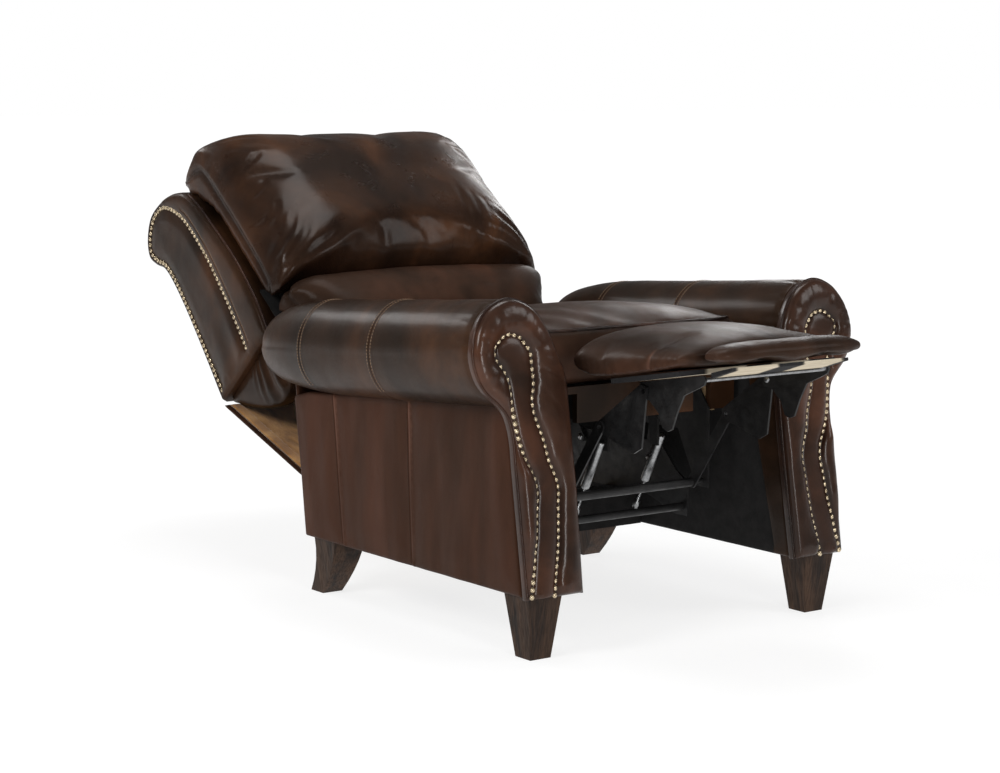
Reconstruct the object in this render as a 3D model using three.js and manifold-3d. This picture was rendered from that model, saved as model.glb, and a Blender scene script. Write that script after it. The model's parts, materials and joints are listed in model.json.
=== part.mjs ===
// Push-back recliner armchair, shown reclined with its footrest out.
// Millimetres. +X is the sitter's left, the chair faces -Y and +Z is up.
// Side profiles are lists of [y, z]; the arms, mechanism sides and wings are mirrored in X.
import * as THREE from 'three';
import { mergeVertices } from 'three/addons/utils/BufferGeometryUtils.js';
import Module from 'manifold-3d';

const wasm = await Module();
wasm.setup();

// ---- driving dimensions -------------------------------------------------
const GAP = 0.4;                 // air left between pieces that touch
const ORIGIN_Y = 554;            // middle of the chair's length, measured from the front feet

const FOOT_HEIGHT = 118;
const FOOT_X = 338;
const FOOT_TOP = 37.5;           // half the side of the square top
const FOOT_SOLE = 23;            // half the side of the square sole
const REAR_FOOT_TOP_Y = 659;
const REAR_FOOT_SOLE_Y = 712;

const ARM_BOTTOM = FOOT_HEIGHT + GAP;
const ARM_OUT = 385;             // outer face of the outside panel
const ARM_IN = 263;              // face of the inside panel, beside the seat
const PANEL = 20;                // thickness of an upholstered arm panel
const FACING = 22;               // thickness of the front facing
const FACING_FOOT_Y = -51;       // front of the facing at its bottom edge
const LEAN = 8.4;                // degrees that the facing leans back
const ROLL_X = 372;
const ROLL_RX = 85;
const ROLL_RZ = 97;
const ROLL_Z = 556;              // middle of the roll at its front end
const ROLL_FALL = 0.0685;        // how far the roll drops for each unit of length
const ROLL_SIDES = 24;
const ROLL_BACK = [              // [distance behind the facing, share of the full size]
  [0, 1], [170, 1], [370, 1], [540, 0.99], [630, 0.945], [700, 0.86], [750, 0.75],
  [783, 0.6], [800, 0.38]];

const RAIL = 25;                 // thickness of a wooden rail
const RAIL_TOP = 200;            // top of the two rails of the base
const SEAT_HALF = 256;
const DECK_BOTTOM = 458;
const DECK_TOP = 470;
const SEAT_FRONT = 137;
const BACK_HALF = 299;           // inside the wings
const HEADREST_HALF = 344;
const LUMBAR_HALF = 286;
const FOOTREST_HALF = 202;
const FLIPPER_HALF = 172;
const FLAP_HALF = 357;
const PLATE = 4;                 // thickness of a steel plate
const SEAT_RAIL_X = 190;         // inner face of the seat's side rails
const SEAT_PLATE_X = 184;
const SWING_X = 192;
const BASE_PLATE_X = 201;
const LOWER_LINK_X = 156.5;
const UPPER_LINK_X = 151.5;
const BRACKET_X = 146.5;
const LINK_HALF = 12;            // half the width of a link
const CLEAR = 1;                 // air beside a moving link
const PIN = 4.5;                 // radius of a pivot pin
const PIN_HOLE = 5.2;            // radius of the hole that turns on it
const OPEN_HOLE = 7.8;           // hole at a pivot that is left open, with room to wander

// Pivots, as [y, z] with the chair reclined and the footrest out.
const TILT_CENTRE = [450, 20];
const SWING_FRONT = { base: [317.9, 278.2], seat: [300, 372] };
const SWING_REAR = { base: [544.9, 294], seat: [600, 372] };
const BACK_PIVOT = [690, 380];
const FOOTREST_DRIVE = [140, 255];
const FOOTREST_ELBOW = [34, 404];
const OTTOMAN_PIVOT = [-88, 484];
const FLIPPER_PIVOT = [-246, 519.5];
const GAS_TOP = [140, 350];
const GAS_FOOT = [222, 190];
const GAS_X = 75;
const FLAP_PIVOT = [1101, 349];

const SOFT_EDGE = { seat: 12, footrest: 9, flipper: 8, headrest: 9, lumbar: 14, wing: 6 };
const ROUND_SIDES = 16;          // facets of a bar
const CURVE_STEPS = 5;

const BACK_RECLINE = 51;         // degrees from upright
const WING_IN = 300;
const WING_OUT = 360;

// ---- materials ----------------------------------------------------------
const finish = (color, roughness, metalness = 0) =>
  new THREE.MeshStandardMaterial({ color, roughness, metalness });
const leather = finish(0x4a3024, 0.38);
const lining = finish(0xb08a63, 0.85);
const blackCloth = finish(0x1c1a1a, 0.95);
const walnut = finish(0x2c1a12, 0.4);
const timber = finish(0xb99468, 0.75);
const plywood = finish(0xd9c7a3, 0.7);
const blackSteel = finish(0x202124, 0.45, 0.6);
const zinc = finish(0xb8bcc0, 0.3, 1);

// ---- frame and helpers --------------------------------------------------
const chair = new THREE.Group();
chair.position.y = -ORIGIN_Y;
const SIDES = [['left', 1], ['right', -1]];
const rad = THREE.MathUtils.degToRad;

function add(name, geometry, material, parent = chair) {
  const mesh = new THREE.Mesh(geometry, material);
  mesh.name = name;
  parent.add(mesh);
  return mesh;
}

function outline(points) {
  const corners = points.map(([u, v]) => new THREE.Vector2(u, v));
  return new THREE.Shape(THREE.ShapeUtils.isClockWise(corners) ? corners.reverse() : corners);
}

function pierce(shape, centres, radius) {
  for (const [u, v] of centres) {
    const hole = new THREE.Path();
    hole.absarc(u, v, radius, 0, Math.PI * 2, true);
    shape.holes.push(hole);
  }
  return shape;
}

// A [y, z] shape extruded along X from x0 to x1, with optional rounded edges.
function acrossX(shape, x0, x1, round = 0) {
  const geometry = new THREE.ExtrudeGeometry(shape, {
    depth: x1 - x0 - 2 * round, curveSegments: CURVE_STEPS, bevelEnabled: round > 0,
    bevelThickness: round, bevelSize: round, bevelOffset: -round, bevelSegments: 2,
  });
  const turn = new THREE.Matrix4().makeBasis(
    new THREE.Vector3(0, 1, 0), new THREE.Vector3(0, 0, 1), new THREE.Vector3(1, 0, 0));
  return geometry.applyMatrix4(turn).translate(x0 + round, 0, 0);
}

// The same, between two distances from the middle on one side of the chair.
function onSide(side, shape, near, far, round = 0) {
  return side > 0 ? acrossX(shape, near, far, round) : acrossX(shape, -far, -near, round);
}

function box(x0, x1, y0, y1, z0, z1) {
  return new THREE.BoxGeometry(x1 - x0, y1 - y0, z1 - z0)
    .translate((x0 + x1) / 2, (y0 + y1) / 2, (z0 + z1) / 2);
}

function boxOnSide(side, near, far, y0, y1, z0, z1) {
  return side > 0 ? box(near, far, y0, y1, z0, z1) : box(-far, -near, y0, y1, z0, z1);
}

// A round bar across the chair through [y, z].
function bar(radius, x0, x1, [y, z]) {
  return new THREE.CylinderGeometry(radius, radius, x1 - x0, ROUND_SIDES)
    .rotateZ(Math.PI / 2).translate((x0 + x1) / 2, y, z);
}

// A pivot pin through [y, z], between two distances from the middle.
function pinOnSide(side, centre, near, far) {
  return side > 0 ? bar(PIN, near, far, centre) : bar(PIN, -far, -near, centre);
}

// A closed skin through rings that all have the same number of points.
function loft(rings) {
  const count = rings[0].length;
  const points = rings.flat();
  const faces = [];
  for (let r = 0; r + 1 < rings.length; r += 1) {
    for (let i = 0; i < count; i += 1) {
      const a = r * count + i;
      const b = r * count + (i + 1) % count;
      faces.push(a, b, b + count, a, b + count, a + count);
    }
  }
  for (const [ring, last] of [[rings[0], false], [rings.at(-1), true]]) {
    const centre = points.length;
    const start = last ? (rings.length - 1) * count : 0;
    points.push([0, 1, 2].map((k) => ring.reduce((sum, p) => sum + p[k], 0) / count));
    for (let i = 0; i < count; i += 1) {
      const a = start + i;
      const b = start + (i + 1) % count;
      faces.push(...(last ? [a, b, centre] : [b, a, centre]));
    }
  }
  const geometry = new THREE.BufferGeometry();
  geometry.setAttribute('position', new THREE.Float32BufferAttribute(points.flat(), 3));
  geometry.setIndex(faces);
  return geometry;
}

function solid(geometry) {
  const bare = geometry.clone();
  bare.deleteAttribute('normal');
  bare.deleteAttribute('uv');
  const merged = mergeVertices(bare, 1e-3);
  return new wasm.Manifold(new wasm.Mesh({
    numProp: 3,
    vertProperties: Float32Array.from(merged.attributes.position.array),
    triVerts: Uint32Array.from(merged.index.array),
  }));
}

function joined(...geometries) {
  const whole = geometries.map(solid).reduce((sum, piece) => sum.add(piece)).getMesh();
  const geometry = new THREE.BufferGeometry();
  geometry.setAttribute('position', new THREE.BufferAttribute(whole.vertProperties, 3));
  geometry.setIndex(new THREE.BufferAttribute(whole.triVerts, 1));
  return geometry;
}

// The back of the facing leans, so everything behind it starts on this line.
const behindFacing = (z, gap = GAP) =>
  FACING_FOOT_Y + FACING + (z - ARM_BOTTOM) * Math.tan(rad(LEAN)) + gap;

// A straight link with round ends and a hole at each pivot.
function link(from, to, endHole = PIN_HOLE, half = LINK_HALF) {
  const angle = Math.atan2(to[1] - from[1], to[0] - from[0]);
  const shape = new THREE.Shape();
  shape.absarc(to[0], to[1], half, angle - Math.PI / 2, angle + Math.PI / 2, false);
  shape.absarc(from[0], from[1], half, angle + Math.PI / 2, angle + 1.5 * Math.PI, false);
  return pierce(pierce(shape, [from], PIN_HOLE), [to], endHole);
}

// ---- feet ---------------------------------------------------------------
const FOOT_STEPS = 5;
const FOOT_SWEEP = 1.8;          // how sharply the rear foot curves towards its top

function squareRing(x, y, z, half) {
  return [[-1, -1], [1, -1], [1, 1], [-1, 1]].map(([a, b]) => [x + a * half, y + b * half, z]);
}

function feet() {
  for (const [word, side] of SIDES) {
    const x = side * FOOT_X;
    add(`foot_front_${word}`, loft([
      squareRing(x, 0, 0, FOOT_SOLE), squareRing(x, 0, FOOT_HEIGHT, FOOT_TOP)]), walnut);
    const rings = [];
    for (let i = 0; i <= FOOT_STEPS; i += 1) {
      const t = i / FOOT_STEPS;
      const y = REAR_FOOT_TOP_Y + (REAR_FOOT_SOLE_Y - REAR_FOOT_TOP_Y) * (1 - t) ** FOOT_SWEEP;
      rings.push(squareRing(x, y, FOOT_HEIGHT * t, FOOT_SOLE + (FOOT_TOP - FOOT_SOLE) * t));
    }
    add(`foot_rear_${word}`, loft(rings), walnut);
  }
}

// ---- arms ---------------------------------------------------------------
const FACING_INSIDE = [[258, 300], [259, 470]];                 // [x, z] up the inner edge
const FACING_THROAT = [[262, 520], [281, 556]];
const FACING_SCROLL = [[296, 601], [326, 638], [372, 655], [417, 640], [446, 606], [459, 562],
  [452, 522], [437, 493], [412, 472], [394, 448], [386, 405]];
const OUTER_PANEL_REAR = [[719, ARM_BOTTOM], [759, 404]];       // [y, z]
const INNER_PANEL_REAR = [[745, ARM_BOTTOM], [770, 480]];
const INNER_PANEL_TOP = 548;
const FRONT_POST = { foot: 24, top: [70, 440] };
const REAR_POST = [[665, ARM_BOTTOM], [712, ARM_BOTTOM], [745, 395], [695, 395]];

function armRoll(side) {
  const rings = [];
  for (const [along, scale] of ROLL_BACK) {
    const tilt = along === 0 ? Math.tan(rad(LEAN)) : 0;
    const ring = [];
    for (let i = 0; i < ROLL_SIDES; i += 1) {
      const angle = -(i / ROLL_SIDES) * Math.PI * 2;
      const z = ROLL_Z - along * ROLL_FALL + ROLL_RZ * scale * Math.sin(angle);
      const x = side * ROLL_X + ROLL_RX * scale * Math.cos(angle);
      const start = behindFacing(ROLL_Z);
      ring.push([x, start + along + (z - ROLL_Z + along * ROLL_FALL) * tilt, z]);
    }
    rings.push(ring);
  }
  return loft(rings);
}

function facingShape(side) {
  const base = ARM_BOTTOM;
  const shape = new THREE.Shape();
  const at = (x, z) => [side * x, z - base];
  shape.moveTo(...at(ARM_IN, base));
  for (const corner of FACING_INSIDE) shape.lineTo(...at(...corner));
  shape.quadraticCurveTo(...FACING_THROAT.flatMap((corner) => at(...corner)));
  shape.splineThru(FACING_SCROLL.map((corner) => new THREE.Vector2(...at(...corner))));
  shape.lineTo(...at(ARM_OUT, base));
  return shape;
}

function arms() {
  const rollFloor = ROLL_Z - ROLL_RZ - 2;
  const near = ARM_IN + PANEL;
  const far = ARM_OUT - PANEL - GAP;
  const frontTop = FRONT_POST.top[1];
  for (const [word, side] of SIDES) {
    const facing = add(`arm_facing_${word}`, new THREE.ExtrudeGeometry(facingShape(side),
      { depth: FACING, curveSegments: 3, bevelEnabled: false }), leather);
    facing.rotation.x = rad(90 - LEAN);
    facing.position.set(0, FACING_FOOT_Y + FACING, ARM_BOTTOM);
    add(`arm_roll_${word}`, armRoll(side), leather);
    add(`arm_outer_panel_${word}`, onSide(side, outline([
      [behindFacing(ARM_BOTTOM), ARM_BOTTOM], ...OUTER_PANEL_REAR,
      [behindFacing(rollFloor), rollFloor - 2]]), ARM_OUT - PANEL, ARM_OUT), leather);
    add(`arm_inner_panel_${word}`, onSide(side, outline([
      [behindFacing(ARM_BOTTOM), ARM_BOTTOM], ...INNER_PANEL_REAR,
      [behindFacing(INNER_PANEL_TOP), INNER_PANEL_TOP]]), ARM_IN, near - 2), leather);
    add(`arm_front_post_${word}`, onSide(side, outline([
      [behindFacing(ARM_BOTTOM, 1), ARM_BOTTOM], [FRONT_POST.foot, ARM_BOTTOM], FRONT_POST.top,
      [behindFacing(frontTop, 1), frontTop]]), near, far), timber);
    add(`arm_rear_post_${word}`, onSide(side, outline(REAR_POST), near, far), timber);
  }
}

// ---- base frame under the seat -------------------------------------------
const BASE_FRONT_RAIL = [425, 470];      // its front and rear faces
const BASE_REAR_RAIL = [680, 715];
const BASE_PLATE = [[204, 172], [240, 172], [330, RAIL_TOP + GAP], [712, RAIL_TOP + GAP],
  [712, 262], [600, 312], [290, 312], [240, 262], [204, 240]];
const STRETCHER_RADIUS = 8;

function baseFrame() {
  const half = ARM_IN - GAP;
  add('base_front_rail', box(-half, half, ...BASE_FRONT_RAIL, ARM_BOTTOM, RAIL_TOP), blackCloth);
  add('base_rear_rail', box(-half, half, ...BASE_REAR_RAIL, ARM_BOTTOM, RAIL_TOP), timber);
  for (const [word, sign] of SIDES) {
    const pins = [SWING_FRONT.base, SWING_REAR.base].map((p) => pinOnSide(sign, p, SWING_X,
      BASE_PLATE_X + PLATE));
    add(`base_mechanism_plate_${word}`, joined(
      onSide(sign, outline(BASE_PLATE), BASE_PLATE_X, BASE_PLATE_X + PLATE), ...pins),
    blackSteel);
  }
  const reach = BASE_PLATE_X - GAP;
  add('base_stretcher', bar(STRETCHER_RADIUS, -reach, reach, GAS_FOOT), blackSteel);
}

// ---- seat ---------------------------------------------------------------
const SEAT_PLATE = [[122, 243], [158, 243], [215, 352], [560, 352], [610, 345], [705, 362],
  [708, 398], [640, 440], [150, 440], [122, 400]];
const SEAT_RAIL_ENDS = [140, 640];
const SEAT_RAIL_BOTTOM = 395;
const SEAT_FRONT_RAIL = { half: 140, depth: 25, bottom: 405 };
const GAS_BRACKET_X = [GAS_X - 16, GAS_X - 11];
const GAS_BRACKET = [[129, 338], [150, 338], [158, 406], [138, 406], [138, 396], [129, 390]];
const DECK_REAR = 650;
const APRON = { half: 250, thick: 14, y: 136, bottom: 400 };
const APRON_NOTCH = { near: 144, far: 189, top: 456 };          // lets the mechanism sides through
const SEAT_CUSHION = [[126, DECK_TOP + 1], [618, DECK_TOP + 1], [622, 545], [560, 574],
  [431, 590], [250, 606], [160, 596], [124, 570]];

function apronShape() {
  const { half, bottom } = APRON;
  const { near, far, top } = APRON_NOTCH;
  const notch = (side) => [[side * near, bottom], [side * near, top], [side * far, top],
    [side * far, bottom]];
  return outline([[-half, bottom], ...notch(-1).reverse(), ...notch(1), [half, bottom],
    [half, DECK_TOP], [-half, DECK_TOP]]);
}

function seat() {
  const outer = SEAT_RAIL_X + RAIL;
  for (const [word, side] of SIDES) {
    const pin = (p, from, to) => pinOnSide(side, p, from, to);
    add(`seat_side_rail_${word}`, boxOnSide(side, SEAT_RAIL_X, outer, ...SEAT_RAIL_ENDS,
      SEAT_RAIL_BOTTOM, DECK_BOTTOM - GAP), timber);
    add(`seat_mechanism_plate_${word}`, joined(
      onSide(side, pierce(outline(SEAT_PLATE), [BACK_PIVOT], PIN_HOLE), SEAT_PLATE_X,
        SEAT_PLATE_X + PLATE),
      pin(SWING_FRONT.seat, SEAT_PLATE_X, SWING_X + PLATE + CLEAR),
      pin(SWING_REAR.seat, SEAT_PLATE_X, SWING_X + PLATE + CLEAR),
      pin(FOOTREST_DRIVE, LOWER_LINK_X, SEAT_PLATE_X + PLATE)), blackSteel);
  }
  const { half, depth, bottom } = SEAT_FRONT_RAIL;
  add('seat_front_rail', joined(
    box(-half, half, SEAT_FRONT, SEAT_FRONT + depth, bottom, DECK_BOTTOM - GAP),
    ...SIDES.map(([, side]) => onSide(side, outline(GAS_BRACKET), ...GAS_BRACKET_X))),
  timber);
  add('seat_deck', box(-outer, outer, SEAT_FRONT, DECK_REAR, DECK_BOTTOM, DECK_TOP), blackCloth);
  const apron = add('seat_apron', new THREE.ExtrudeGeometry(apronShape(),
    { depth: APRON.thick, bevelEnabled: false }), leather);
  apron.rotation.x = Math.PI / 2;
  apron.position.y = APRON.y;
  add('seat_cushion', acrossX(outline(SEAT_CUSHION), -SEAT_HALF, SEAT_HALF, SOFT_EDGE.seat), leather);
}

// ---- swing links between base and seat -----------------------------------
function swingLinks() {
  for (const [word, side] of SIDES) {
    for (const [where, { base, seat: top }] of [['front', SWING_FRONT], ['rear', SWING_REAR]]) {
      add(`swing_link_${where}_${word}`, onSide(side, link(base, top, OPEN_HOLE),
        SWING_X + CLEAR, SWING_X + CLEAR + PLATE), blackSteel);
    }
  }
}

// ---- footrest -----------------------------------------------------------
const UPPER_LINK = [[-99, 492], [-80, 496], [46, 412], [44, 394], [20, 388], [-62, 366],
  [-84, 378]];
const BRACKET = [[-250, 511], [-238, 505], [-196, 487], [-178, 455], [-164, 422], [-151, 417],
  [-138, 422], [-126, 448], [-100, 468], [-76, 470], [-72, 499], [-238, 526.2], [-250, 527.5],
  [-254.5, 519.5]];
const FOOTREST_BOARD = [[-36, 494.8], [-228, 527.6], [-227, 536.2], [-35, 504]];
const FOOTREST_PAD = [[62, 510], [20, 499], [-26, 505], [-130, 522], [-226, 538.5],
  [-248, 546], [-256, 558], [-247, 572], [-200, 590], [-130, 598], [-50, 598], [20, 592],
  [58, 582], [72, 556], [72, 523]];
const FLIPPER_PAD = [[-263, 544], [-314, 552], [-329, 560], [-332, 570], [-325, 581],
  [-309, 586], [-271, 585], [-262, 576]];
const FLIPPER_BOARD = [[-258, 524], [-312, 541.5], [-311, 547], [-257, 533]];
const BOARD_HALF = { footrest: 188, flipper: 140 };
const TUBE_RADIUS = 9;
const HINGE_RADIUS = 4;

function footrestLinks() {
  const wide = pierce(outline(UPPER_LINK), [OTTOMAN_PIVOT, FOOTREST_ELBOW], PIN_HOLE);
  for (const [word, side] of SIDES) {
    const arm = onSide(side, link(FOOTREST_DRIVE, FOOTREST_ELBOW), LOWER_LINK_X,
      LOWER_LINK_X + PLATE);
    add(`footrest_lower_link_${word}`, arm, blackSteel);
    add(`footrest_upper_link_${word}`, onSide(side, wide, UPPER_LINK_X,
      UPPER_LINK_X + PLATE), blackSteel);
  }
  const reach = LOWER_LINK_X - GAP;
  add('footrest_torque_tube', bar(TUBE_RADIUS, -reach, reach, FOOTREST_DRIVE), blackSteel);
}

function ottoman() {
  const bracket = pierce(outline(BRACKET), [OTTOMAN_PIVOT], PIN_HOLE);
  const board = BOARD_HALF;
  const reach = BRACKET_X - GAP;
  for (const [word, side] of SIDES) {
    add(`footrest_bracket_${word}`, onSide(side, bracket, BRACKET_X, BRACKET_X + PLATE),
      blackSteel);
  }
  add('footrest_board', acrossX(outline(FOOTREST_BOARD), -board.footrest, board.footrest),
    plywood);
  add('footrest_pad', acrossX(outline(FOOTREST_PAD), -FOOTREST_HALF, FOOTREST_HALF,
    SOFT_EDGE.footrest), leather);
  add('flipper_hinge_rod', bar(HINGE_RADIUS, -reach, reach, FLIPPER_PIVOT), zinc);
  add('flipper_pad', acrossX(outline(FLIPPER_PAD), -FLIPPER_HALF, FLIPPER_HALF,
    SOFT_EDGE.flipper), leather);
  add('flipper_board', acrossX(outline(FLIPPER_BOARD), -board.flipper, board.flipper), plywood);
}

// ---- gas springs --------------------------------------------------------
const GAS_SIDES = 14;
const GAS_TUBE = [[0, -8], [9, -8], [9, 100], [5, 100], [5, 10], [0, 10]];   // [radius, height]
const GAS_ROD = { radius: 4, start: 34, short: 12 };    // short: how far its end stops from the foot

function gasSprings() {
  const end = Math.hypot(GAS_FOOT[0] - GAS_TOP[0], GAS_FOOT[1] - GAS_TOP[1]) - GAS_ROD.short;
  const rod = [[0, GAS_ROD.start], [GAS_ROD.radius, GAS_ROD.start], [GAS_ROD.radius, end],
    [0, end]];
  const turned = (profile) => new THREE.LatheGeometry(
    profile.map(([r, h]) => new THREE.Vector2(r, h)), GAS_SIDES);
  const lean = Math.atan2(GAS_FOOT[1] - GAS_TOP[1], GAS_FOOT[0] - GAS_TOP[0]);
  for (const [word, side] of SIDES) {
    for (const [name, profile] of [['cylinder', GAS_TUBE], ['rod', rod]]) {
      const piece = add(`gas_${name}_${word}`, turned(profile), zinc);
      piece.rotation.x = lean;
      piece.position.set(side * GAS_X, ...GAS_TOP);
    }
  }
}

// ---- back, in its own frame: z up the back, y towards the rear -----------
const WING_FOOT = [34, 258];
const WING = [[15, 339], [6, 448], [13, 570], [29, 686], [62, 738], [115, 775], [180, 794],
  [233, 776], [260, 742], [252, 707], [233, 672], [230, 620], [240, 530], [262, 405], [283, 302]];
const BACK_RAIL = [[-16, -16], [16, -16], [50, 60], [50, 640], [15, 640], [15, 75], [-16, 20]];
const INNER_PANEL = { thick: 13, bottom: 258, top: 700 };
const LOWER_PAD = { half: 255, front: 52, rear: 150, bottom: 70, top: 250 };
const BACK_SHELL = [[276, 304], [254, 405], [232, 530], [222, 620], [225, 672], [240, 700],
  [228, 706], [215, 680], [212, 618], [222, 528], [244, 403], [266, 302]];
const TOP_ROLL = [[40, 704], [66, 737], [116, 771], [178, 788], [228, 771], [253, 741],
  [246, 711], [200, 708], [120, 704]];
const HEADREST = [[-8, 322], [-62, 306], [-112, 312], [-140, 350], [-150, 410], [-150, 530],
  [-142, 640], [-124, 712], [-92, 750], [-50, 766], [4, 766], [42, 748], [-4, 706]];
const LUMBAR = [[-8, 135], [-60, 128], [-96, 140], [-108, 200], [-100, 270], [-70, 296],
  [-8, 300]];

function wingShape() {
  const shape = new THREE.Shape();
  shape.moveTo(...WING_FOOT);
  shape.splineThru(WING.map(([u, v]) => new THREE.Vector2(u, v)));
  return shape;
}

function back() {
  const frame = new THREE.Group();
  frame.position.set(0, ...BACK_PIVOT);
  frame.rotation.x = -rad(BACK_RECLINE);
  chair.add(frame);
  for (const [word, side] of SIDES) {
    const pin = pinOnSide(side, [0, 0], SEAT_PLATE_X - CLEAR, SEAT_RAIL_X + 2);
    add(`back_side_rail_${word}`, joined(onSide(side, outline(BACK_RAIL), SEAT_RAIL_X,
      SEAT_RAIL_X + RAIL), pin), timber, frame);
    add(`back_wing_${word}`, onSide(side, wingShape(), WING_IN, WING_OUT, SOFT_EDGE.wing),
      leather, frame);
  }
  const { thick, bottom, top } = INNER_PANEL;
  const { half, front, rear } = LOWER_PAD;
  add('back_inner_panel', box(-BACK_HALF, BACK_HALF, 0, thick, bottom, top), leather, frame);
  add('back_lower_pad', box(-half, half, front, rear, LOWER_PAD.bottom, LOWER_PAD.top), leather,
    frame);
  add('back_outer_panel', acrossX(outline(BACK_SHELL), -BACK_HALF, BACK_HALF), leather, frame);
  add('back_top_roll', acrossX(outline(TOP_ROLL), -BACK_HALF, BACK_HALF), leather, frame);
  add('headrest_pillow', acrossX(outline(HEADREST), -HEADREST_HALF, HEADREST_HALF,
    SOFT_EDGE.headrest), leather, frame);
  add('lumbar_pillow', acrossX(outline(LUMBAR), -LUMBAR_HALF, LUMBAR_HALF, SOFT_EDGE.lumbar),
    leather, frame);
}

// ---- lining flap under the back ------------------------------------------
const FLAP = [[1092, 350], [772, 240], [775, 231], [1095, 341]];

function backFlap() {
  add('back_flap', acrossX(outline(FLAP), -FLAP_HALF, FLAP_HALF), lining);
}

feet();
arms();
baseFrame();
seat();
swingLinks();
footrestLinks();
ottoman();
gasSprings();
back();
backFlap();

export default chair;
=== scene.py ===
"""A push-back leather recliner with its footrest out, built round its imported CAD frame."""
import json
import math
import random

import bpy
import numpy as np
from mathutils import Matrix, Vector, noise
from mathutils.geometry import delaunay_2d_cdt


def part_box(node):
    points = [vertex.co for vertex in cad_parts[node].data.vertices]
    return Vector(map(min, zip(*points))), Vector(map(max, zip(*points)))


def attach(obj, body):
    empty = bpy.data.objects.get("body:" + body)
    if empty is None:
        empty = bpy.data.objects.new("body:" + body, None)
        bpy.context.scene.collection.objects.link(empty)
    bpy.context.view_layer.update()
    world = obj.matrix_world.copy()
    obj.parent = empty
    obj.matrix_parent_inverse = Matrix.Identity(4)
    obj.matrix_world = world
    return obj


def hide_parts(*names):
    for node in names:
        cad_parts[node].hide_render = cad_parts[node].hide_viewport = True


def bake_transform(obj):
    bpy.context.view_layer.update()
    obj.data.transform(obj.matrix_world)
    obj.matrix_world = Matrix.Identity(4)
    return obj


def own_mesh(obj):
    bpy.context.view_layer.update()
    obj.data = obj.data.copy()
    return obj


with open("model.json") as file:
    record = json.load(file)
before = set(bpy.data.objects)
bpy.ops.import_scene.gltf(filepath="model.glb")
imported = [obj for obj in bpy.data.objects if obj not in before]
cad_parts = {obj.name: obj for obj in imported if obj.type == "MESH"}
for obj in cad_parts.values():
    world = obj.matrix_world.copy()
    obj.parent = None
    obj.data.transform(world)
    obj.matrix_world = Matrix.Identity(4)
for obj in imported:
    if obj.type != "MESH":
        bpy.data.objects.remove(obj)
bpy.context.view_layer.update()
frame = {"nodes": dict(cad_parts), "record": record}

random.seed(7)
scene = bpy.context.scene
SIDES = (("left", 1), ("right", -1))
PINS = {joint["name"]: joint for joint in frame["record"]["behaviour"]["joints"]}


def middle(node):
    low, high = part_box(node)
    return (low + high) / 2


# Chair coordinates have Y = 0 at the middle of the front feet, X = 0 in the middle, Z up.
FRONT = middle("foot_front_left").y
LEAN = math.radians(8.4)         # the arm facings lean back by this much
RECLINE = math.radians(51)       # the back leans back by this much, from upright
BACK = np.array([0, PINS["back_recline"]["pos_m"][1] - FRONT, PINS["back_recline"]["pos_m"][2]])
ARM_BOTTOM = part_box("arm_outer_panel_left")[0].z
ARM_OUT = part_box("arm_outer_panel_left")[1].x
ARM_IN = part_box("arm_inner_panel_left")[0].x
WING_IN, WING_OUT = (corner.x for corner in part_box("back_wing_left"))


# ---- curves and distances ----------------------------------------------------
def even(path, step, closed=False):
    """The same path as evenly spaced points."""
    path = np.asarray(path, float)
    if closed:
        path = np.vstack([path, path[:1]])
    along = np.r_[0, np.cumsum(np.linalg.norm(np.diff(path, axis=0), axis=1))]
    at = np.linspace(0, along[-1], max(2, round(along[-1] / step) + 1))
    points = np.stack([np.interp(at, along, path[:, k]) for k in range(path.shape[1])], 1)
    return points[:-1] if closed else points


def spline(points, step, closed=False):
    """Evenly spaced points on a smooth curve through the given ones."""
    p = np.asarray(points, float)
    count = len(p)
    if closed:
        p = np.vstack([p[-1:], p, p[:2]])
    else:
        p = np.vstack([2 * p[0] - p[1], p, 2 * p[-1] - p[-2]])
    t = np.linspace(0, 1, 14, endpoint=False)[:, None]
    parts = []
    for i in range(count if closed else count - 1):
        a, b, c, d = p[i:i + 4]
        parts.append(0.5 * (2 * b + (c - a) * t + (2 * a - 5 * b + 4 * c - d) * t ** 2
                            + (3 * b - a - 3 * c + d) * t ** 3))
    if not closed:
        parts.append(p[-2:-1])
    return even(np.vstack(parts), step, closed)


def closed_spline(points, step):
    """A smooth curve through the points, then straight back to its start."""
    return np.vstack([spline(points, step), even([points[-1], points[0]], step)[1:-1]])


def nearest(points, path, closed=False):
    """How far each point is from a path, and how far along it the nearest place is."""
    points = np.asarray(points, float)
    start = np.asarray(path, float)
    end = np.roll(start, -1, 0) if closed else start[1:]
    start = start if closed else start[:-1]
    run = end - start
    length = np.linalg.norm(run, axis=1)
    before = np.r_[0, np.cumsum(length)[:-1]]
    best = np.full(len(points), 9.0)
    along = np.zeros(len(points))
    for s, r, size, base in zip(start, run, length, before):
        t = np.clip((points - s) @ r / max(size * size, 1e-12), 0, 1)
        gap = np.linalg.norm(points - s - t[:, None] * r, axis=1)
        closer = gap < best
        best[closer] = gap[closer]
        along[closer] = base + t[closer] * size
    return best, along


def distance(points, path, closed=False):
    return nearest(points, path, closed)[0]


def inside(points, outline):
    u, v = points[:, 0], points[:, 1]
    within = np.zeros(len(points), bool)
    for (u0, v0), (u1, v1) in zip(outline, np.roll(outline, -1, 0)):
        crosses = (v0 > v) != (v1 > v)
        within ^= crosses & (u < (u1 - u0) * (v - v0) / (v1 - v0 + 1e-15) + u0)
    return within


def smooth(low, high, value):
    t = np.clip((np.asarray(value, float) - low) / (high - low), 0, 1)
    return t * t * (3 - 2 * t)


def rounded(gap, radius):
    """Height of a rounded edge at this distance from the rim: 0 inland and -radius at the rim."""
    t = np.clip(gap / radius, 0, 1)
    return radius * (np.sqrt(1 - (1 - t) ** 2) - 1)


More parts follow.
